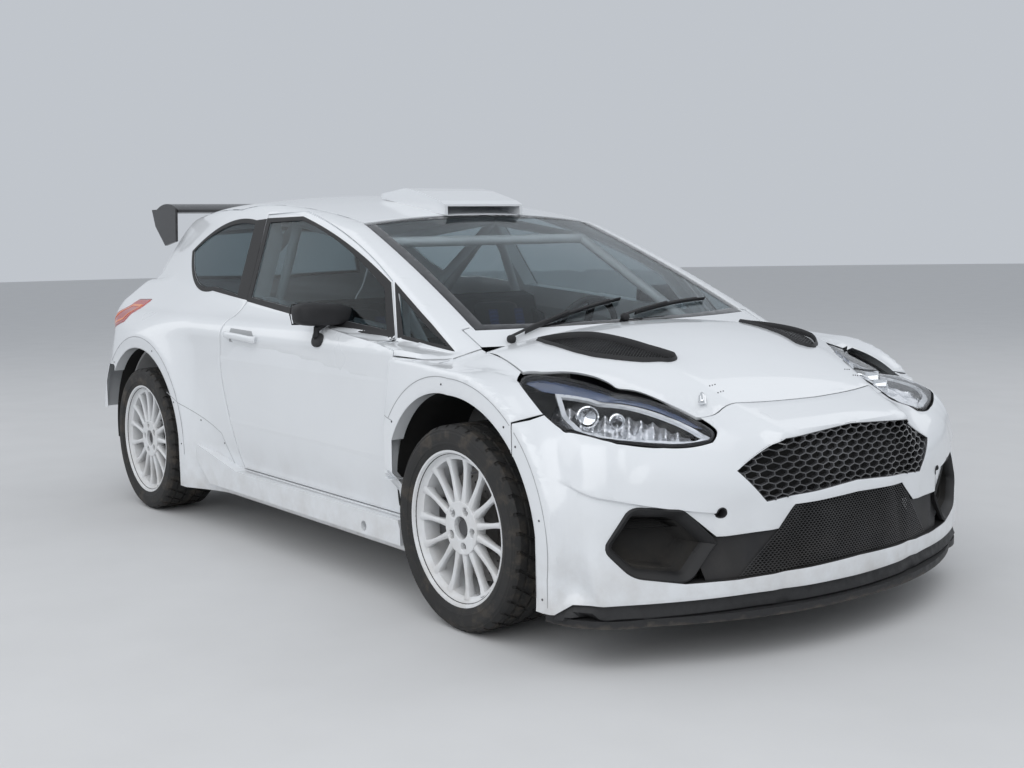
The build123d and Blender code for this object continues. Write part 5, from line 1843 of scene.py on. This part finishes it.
def build_bonnet_details():
    """Vents with raised lips and mesh, latches and rivets."""
    inner, top, outer, low = (
        even_ring(on_skin(moved_out(VENT, by), down, surface=proud(lift), step=8), VENT_RING)
        for by, lift in ((-1, -1), (4, 9), (9, 0.5), (-3, -16))
    )
    rows = [outer, top * 0.7 + outer * 0.3, top, inner * 0.5 + top * 0.5 + (0, 0, 2), inner, low]
    wall = smooth_shaded(thickened(grid_piece("vent", rows, close_points=True), 1.6, 0), 40)
    pair(wall, "vent_frame_{}", "trim", "black_plastic", "bonnet", ["bonnet_vents"])
    mesh = comb_mesh("vent_mesh", hex_lines(moved_out(VENT, -2), 11, 8, 3), down, proud(-9), 1.8, 2.4,
                     (0, 0, 1))
    pair(mesh, "vent_mesh_{}", "mesh", "black_plastic", "bonnet")
    floor = patch("vent_floor", TOP_VIEW, down, [moved_out(VENT, -4)], 20, 2, 0, raised(-14))
    pair(floor, "vent_floor_{}", "liner", "black_plastic", "bonnet")

    spot = spot_on(down, (1729, 371))
    normal = slope_of(skin, spot[None])[0]
    ahead = unit(np.cross((0, 1, 0), normal)) * 0.8 + (0, 0.6, 0)
    pieces = [flat_bar(name, [spot + ahead * v + normal * h for v, h in places], *half,
                       up=np.cross(normal, ahead))
              for name, places, half in (
                  ("plate", ((-30, 1.5), (-26, 1.5), (26, 1.5), (30, 1.5)), (11, 2.2)),
                  ("ridge", ((-22, 3), (-14, 7), (12, 7), (20, 3)), (6, 4)))]
    pair(merged("latch", pieces), "bonnet_latch_{}", "chrome", "rim_paint", "bonnet")
    dots = np.array([spot_on(down, (x, y)) for x in (1712, 1746) for y in (300, 311, 322)])
    pair(screw_heads("dots", dots, slope_of(skin, dots), 2.0), "bonnet_rivets_{}", "metal",
         "engine_metal", "bonnet")


def build_wipers():
    """Two wipers parked along the foot of the windscreen."""
    pieces = []
    for pivot, tip in (((1046, -60), (905, 470)), ((1050, -560), (930, 20))):

        def part_way(*shares):
            return [tuple(a + (b - a) * s for a, b in zip(pivot, tip)) for s in shares]

        arm = [spot_on(down, pivot, raised(2))]
        arm += [spot_on(down, spot, raised(18)) for spot in part_way(0.0, 0.2, 0.5)]
        blade = traced(down, part_way(0.12, 1.0), surface=raised(9))
        spoiler = traced(down, part_way(0.2, 0.9), surface=raised(14))
        pieces += [
            flat_bar("arm", arm, 7, 4.5, up=(1, 0, 0)),
            flat_bar("blade", blade, 7.5, 3, up=(0.6, 0, 0.8)),
            flat_bar("spoiler", spoiler, 2.5, 5, up=(0.6, 0, 0.8)),
            superellipsoid("cap", arm[0] + (0, 0, 8), (15, 15, 14), 2.4, 10, 20),
        ]
    finished(merged("wipers_detail", pieces), "trim", "shell", ["wipers"])


def build_rear_details():
    """Tail lamps with a rim and inner lights."""
    lens = patch("tail", QUARTER_VIEW, across, [moved_out(TAIL_LAMP, -2)], 9, 12, 3, proud(2))
    pair(lens, "tail_lens_{}", "red", "red_lens", replaced=["tail_lamps"])
    inner = [(-1530, 925), (-1635, 924), (-1738, 846), (-1725, 825), (-1580, 858)]
    light = patch("light", QUARTER_VIEW, across, [inner, moved_out(inner, -9)], 7, 2, 0.6, proud(3.4))
    pair(light, "tail_light_{}", "amber", "red_lens")


# Cabin


def seat_pad(name, start, end, thickness, half_width, crown=0.0):
    """A cushion on a seat, between two points of (x, z), with its channels pressed in."""
    (ax, az), (bx, bz) = start, end
    reach = math.hypot(bx - ax, bz - az)
    made = superellipsoid(name, (0, 0, 0), (reach / 2, half_width, thickness), 4.5, 26, 64)
    points = vertices(made)
    groove = np.exp(-(((points[:, 0] / reach + 0.5) * 5 % 1 - 0.5) / 0.09) ** 2)
    points[:, 2] -= np.where(points[:, 2] > 0, 6 * groove, 0)
    points[:, 2] += crown * (np.abs(points[:, 1]) / half_width) ** 4 * (points[:, 2] > 0)
    reshape(made, points)
    middle = ((ax + bx) / 2 * MM, 0.360, (az + bz) / 2 * MM)
    turn = Matrix.Rotation(-math.atan2(bz - az, bx - ax), 4, "Y")
    made.data.transform(Matrix.Translation(middle) @ turn)
    return smooth_shaded(made, 60)


BELT_FORWARD = 36


def build_cabin():
    """Seat pads in cloth, and belts."""
    for stem, start, end, thickness, half_width, crown in (
        ("seat_base_pad_{}", (150, 372), (-40, 326), 26, 172, 14),
        ("seat_back_pad_{}", (-92, 400), (-222, 760), 26, 172, 14),
        ("seat_head_pad_{}", (-262, 800), (-302, 918), 20, 120, 10),
    ):
        pad = seat_pad("pad", start, end, thickness, half_width, crown)
        for piece in pair(pad, stem, "cloth", "seat_shell"):
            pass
    belts = []
    for y in (290, 430):
        line = np.array([(-250, y, 905), (-226, y, 800), (-160, y, 620), (-96, y, 470),
                         (-40, y * 0.5 + 180, 372)], float)
        line = softened(spread_points(line, 24, 0, 1), 3) + (BELT_FORWARD, 0, 0)
        belts.append(flat_bar("belt", line, 2.0, 24, up=(1, 0, 0.4)))
    pair(merged("belts", belts), "belts_{}", "belt", "seat_shell")


# The frame's own pieces that show get their finishes here; a name may end in * for any ending

NODE_FINISHES = {
    "paint": "bonnet door_left door_right side_skirts roof_scoop cowl_panel",
    "cage": "roll_cage",
    "trim": "seats dashboard wipers bonnet_vents mirror_left mirror_right steering_wheel",
    "splitter": "front_splitter",
    "liner": "upper_grille lower_grille",
    "gloss": "intake_pods",
    "carbon": "rear_wing",
    "red": "tail_lamps",
    "steel": "exhaust",
    "metal": "engine suspension_arms rear_uprights knuckle_left knuckle_right",
    "guard": "sump_guard",
    "screen": "windscreen",
    "window": "quarter_windows rear_screen door_window_left door_window_right",
    "lens": "headlamps",
    "tyre": "tyre*",
    "rim": "rim*",
    "disc": "brake_disc*",
}


def dress_frame():
    """Every node gets the finish that lists it, or else the inner paint."""
    for name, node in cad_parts.items():
        fits = (finish for finish, names in NODE_FINISHES.items()
                if any(fnmatch(name, listed) for listed in names.split()))
        node.data.materials.clear()
        node.data.materials.append(FINISH[next(fits, "inner")])


# Stage

LAMPS = (((4.5, -4.5, 5.5), 8.0, 1.0), ((-5.0, -5.0, 6.0), 9.0, 0.6), ((3.0, 6.0, 6.0), 9.0, 0.5))


def build_stage(choice):
    """The camera that matches the photograph, the floor, the sky and the softboxes."""
    scene = bpy.context.scene
    camera_data = bpy.data.cameras.new("camera")
    camera = bpy.data.objects.new("camera", camera_data)
    scene.collection.objects.link(camera)
    scene.camera = camera
    camera_data.lens = CAMERA_LENS
    camera_data.sensor_width = 36.0
    camera_data.clip_end = 200
    yaw, pitch, roll = (math.radians(v) for v in (CAMERA_YAW, CAMERA_PITCH, CAMERA_ROLL))
    turn = Matrix.Translation(CAMERA_AT)
    for angle, axis in ((yaw, "Z"), (math.pi / 2 - pitch, "X"), (roll, "Z")):
        turn = turn @ Matrix.Rotation(angle, 4, axis)
    camera.matrix_world = turn
    bpy.ops.mesh.primitive_circle_add(vertices=96, radius=40, fill_type="NGON")
    floor = bpy.context.object
    floor.name = "floor"
    material, web, bsdf = base_finish("studio_floor", 0.85)
    wired(web, bsdf, web.mixed(web.noise(web.place(), 3.0, 6.0), (0.60, 0.60, 0.60), (0.66, 0.66, 0.66)))
    floor.data.materials.append(material)
    world = bpy.data.worlds.new("studio")
    scene.world = world
    world.use_nodes = True
    sky = world.node_tree.nodes["Background"].inputs
    sky["Color"].default_value = (0.88, 0.93, 1.0, 1)
    sky["Strength"].default_value = choice.sky_strength
    for place, size, share in LAMPS:
        light_data = bpy.data.lights.new("softbox", "AREA")
        light_data.size, light_data.energy = size, choice.key_power * share
        light = bpy.data.objects.new("softbox", light_data)
        scene.collection.objects.link(light)
        light.location = place
        light.rotation_euler = (Vector((0, 0, 0.5)) - Vector(place)).to_track_quat("-Z", "Y").to_euler()
    scene.view_settings.view_transform = "Standard"


# Settings, operators and panel


def length(name, about, value, low, high):
    return FloatProperty(name=name, description=about, default=value, min=low, max=high, unit="LENGTH",
                         subtype="DISTANCE")


def colour(name, about, value):
    return FloatVectorProperty(name=name, description=about, default=value, size=3, min=0.0, max=1.0,
                               subtype="COLOR")


class RallyBodySettings(bpy.types.PropertyGroup):
    panel_gauge: length("Panel gauge", "Thickness of the outer panels", 0.0024, 0.001, 0.004)
    edge_radius: length("Edge radius", "Rounding of the panels' rims", 0.001, 0.0003, 0.0015)


class RallyColourSettings(bpy.types.PropertyGroup):
    paint_colour: colour("Paint", "Body colour", (0.78, 0.80, 0.82))
    rim_colour: colour("Wheels", "Colour of the wheel rims", (0.76, 0.77, 0.78))
    trim_colour: colour("Trim", "Colour of the moulded black parts", (0.016, 0.016, 0.017))
    glass_tint: colour("Side glass", "Tint of the side and rear windows", (0.30, 0.36, 0.38))


class RallyWheelSettings(bpy.types.PropertyGroup):
    spokes: IntProperty(name="Spokes", description="Number of spokes on each wheel", default=15, min=5,
                        max=24)
    pitches: IntProperty(name="Tread pitches", description="Number of tread blocks round the tyre",
                         default=36, min=18, max=60)
    groove_depth: length("Groove depth", "Depth of the tread grooves", 0.006, 0.002, 0.009)


class RallyLightSettings(bpy.types.PropertyGroup):
    sky_strength: FloatProperty(name="Sky strength", description="Strength of the soft light all round",
                                default=0.60, min=0.0, max=2.0)
    key_power: FloatProperty(name="Key light", description="Power of the main softbox", default=270.0,
                             min=0.0, max=2000.0, unit="POWER")


class RallySettings(bpy.types.PropertyGroup):
    body: PointerProperty(type=RallyBodySettings)
    colours: PointerProperty(type=RallyColourSettings)
    wheels: PointerProperty(type=RallyWheelSettings)
    lights: PointerProperty(type=RallyLightSettings)


class RALLY_OT_finishes(bpy.types.Operator):
    """Make the paints, glass, rubber and metals"""

    bl_idname = "rally.finishes"
    bl_label = "Finishes"
    bl_options = {"REGISTER", "UNDO"}

    def execute(self, context):
        make_finishes(context.scene.rally.colours)
        return {"FINISHED"}


class RALLY_OT_body(bpy.types.Operator):
    """Build the body panels"""

    bl_idname = "rally.body"
    bl_label = "Body panels"
    bl_options = {"REGISTER", "UNDO"}

    def execute(self, context):
        build_body(context.scene.rally.body)
        return {"FINISHED"}


class RALLY_OT_wheels(bpy.types.Operator):
    """Build tyres, rims, brake discs and arch liners"""

    bl_idname = "rally.wheels"
    bl_label = "Wheels"
    bl_options = {"REGISTER", "UNDO"}

    def execute(self, context):
        build_wheels(context.scene.rally.wheels)
        build_liners()
        return {"FINISHED"}


class RALLY_OT_grilles(bpy.types.Operator):
    """Build the grilles, pods and towing sockets"""

    bl_idname = "rally.grilles"
    bl_label = "Grilles"
    bl_options = {"REGISTER", "UNDO"}

    def execute(self, context):
        build_grilles()
        return {"FINISHED"}


class RALLY_OT_lamps(bpy.types.Operator):
    """Build the headlamps"""

    bl_idname = "rally.headlamps"
    bl_label = "Headlamps"
    bl_options = {"REGISTER", "UNDO"}

    def execute(self, context):
        build_lamps()
        return {"FINISHED"}


class RALLY_OT_trim(bpy.types.Operator):
    """Build window surrounds, flare trims, mirrors, handles, vents, latches, wipers and tail lamps"""

    bl_idname = "rally.trim"
    bl_label = "Trim"
    bl_options = {"REGISTER", "UNDO"}

    def execute(self, context):
        build_windows()
        build_arch_trims()
        build_mirrors()
        build_door_details()
        build_bonnet_details()
        build_wipers()
        build_rear_details()
        return {"FINISHED"}


class RALLY_OT_cabin(bpy.types.Operator):
    """Build the seat pads and the belts"""

    bl_idname = "rally.cabin"
    bl_label = "Cabin"
    bl_options = {"REGISTER", "UNDO"}

    def execute(self, context):
        build_cabin()
        return {"FINISHED"}


class RALLY_OT_frame(bpy.types.Operator):
    """Give the frame's own pieces their finishes"""

    bl_idname = "rally.frame_finishes"
    bl_label = "Frame finishes"
    bl_options = {"REGISTER", "UNDO"}

    def execute(self, context):
        dress_frame()
        return {"FINISHED"}


class RALLY_OT_stage(bpy.types.Operator):
    """Set up the floor, the lamps and the camera"""

    bl_idname = "rally.stage"
    bl_label = "Stage"
    bl_options = {"REGISTER", "UNDO"}

    def execute(self, context):
        build_stage(context.scene.rally.lights)
        return {"FINISHED"}


OPERATORS = (
    RALLY_OT_finishes, RALLY_OT_body, RALLY_OT_wheels, RALLY_OT_grilles, RALLY_OT_lamps, RALLY_OT_trim,
    RALLY_OT_cabin, RALLY_OT_frame, RALLY_OT_stage,
)


class RALLY_PT_panel(bpy.types.Panel):
    """Lists the settings and the building steps"""

    bl_idname = "RALLY_PT_panel"
    bl_label = "Rally Car"
    bl_space_type = "VIEW_3D"
    bl_region_type = "UI"
    bl_category = "Rally Car"

    def draw(self, context):
        layout = self.layout
        settings = context.scene.rally
        for group in (settings.body, settings.colours, settings.wheels, settings.lights):
            box = layout.box()
            for key in group.bl_rna.properties.keys():
                if key not in ("rna_type", "name"):
                    box.prop(group, key)
        for operator in OPERATORS:
            layout.operator(operator.bl_idname)


CLASSES = (RallyBodySettings, RallyColourSettings, RallyWheelSettings, RallyLightSettings, RallySettings,
           *OPERATORS, RALLY_PT_panel)


def register():
    for made in CLASSES:
        bpy.utils.register_class(made)
    bpy.types.Scene.rally = PointerProperty(type=RallySettings)


def unregister():
    del bpy.types.Scene.rally
    for made in reversed(CLASSES):
        bpy.utils.unregister_class(made)


def main():
    register()
    for operator in OPERATORS:
        group, name = operator.bl_idname.split(".")
        getattr(getattr(bpy.ops, group), name)()


if __name__ == "__main__":
    main()
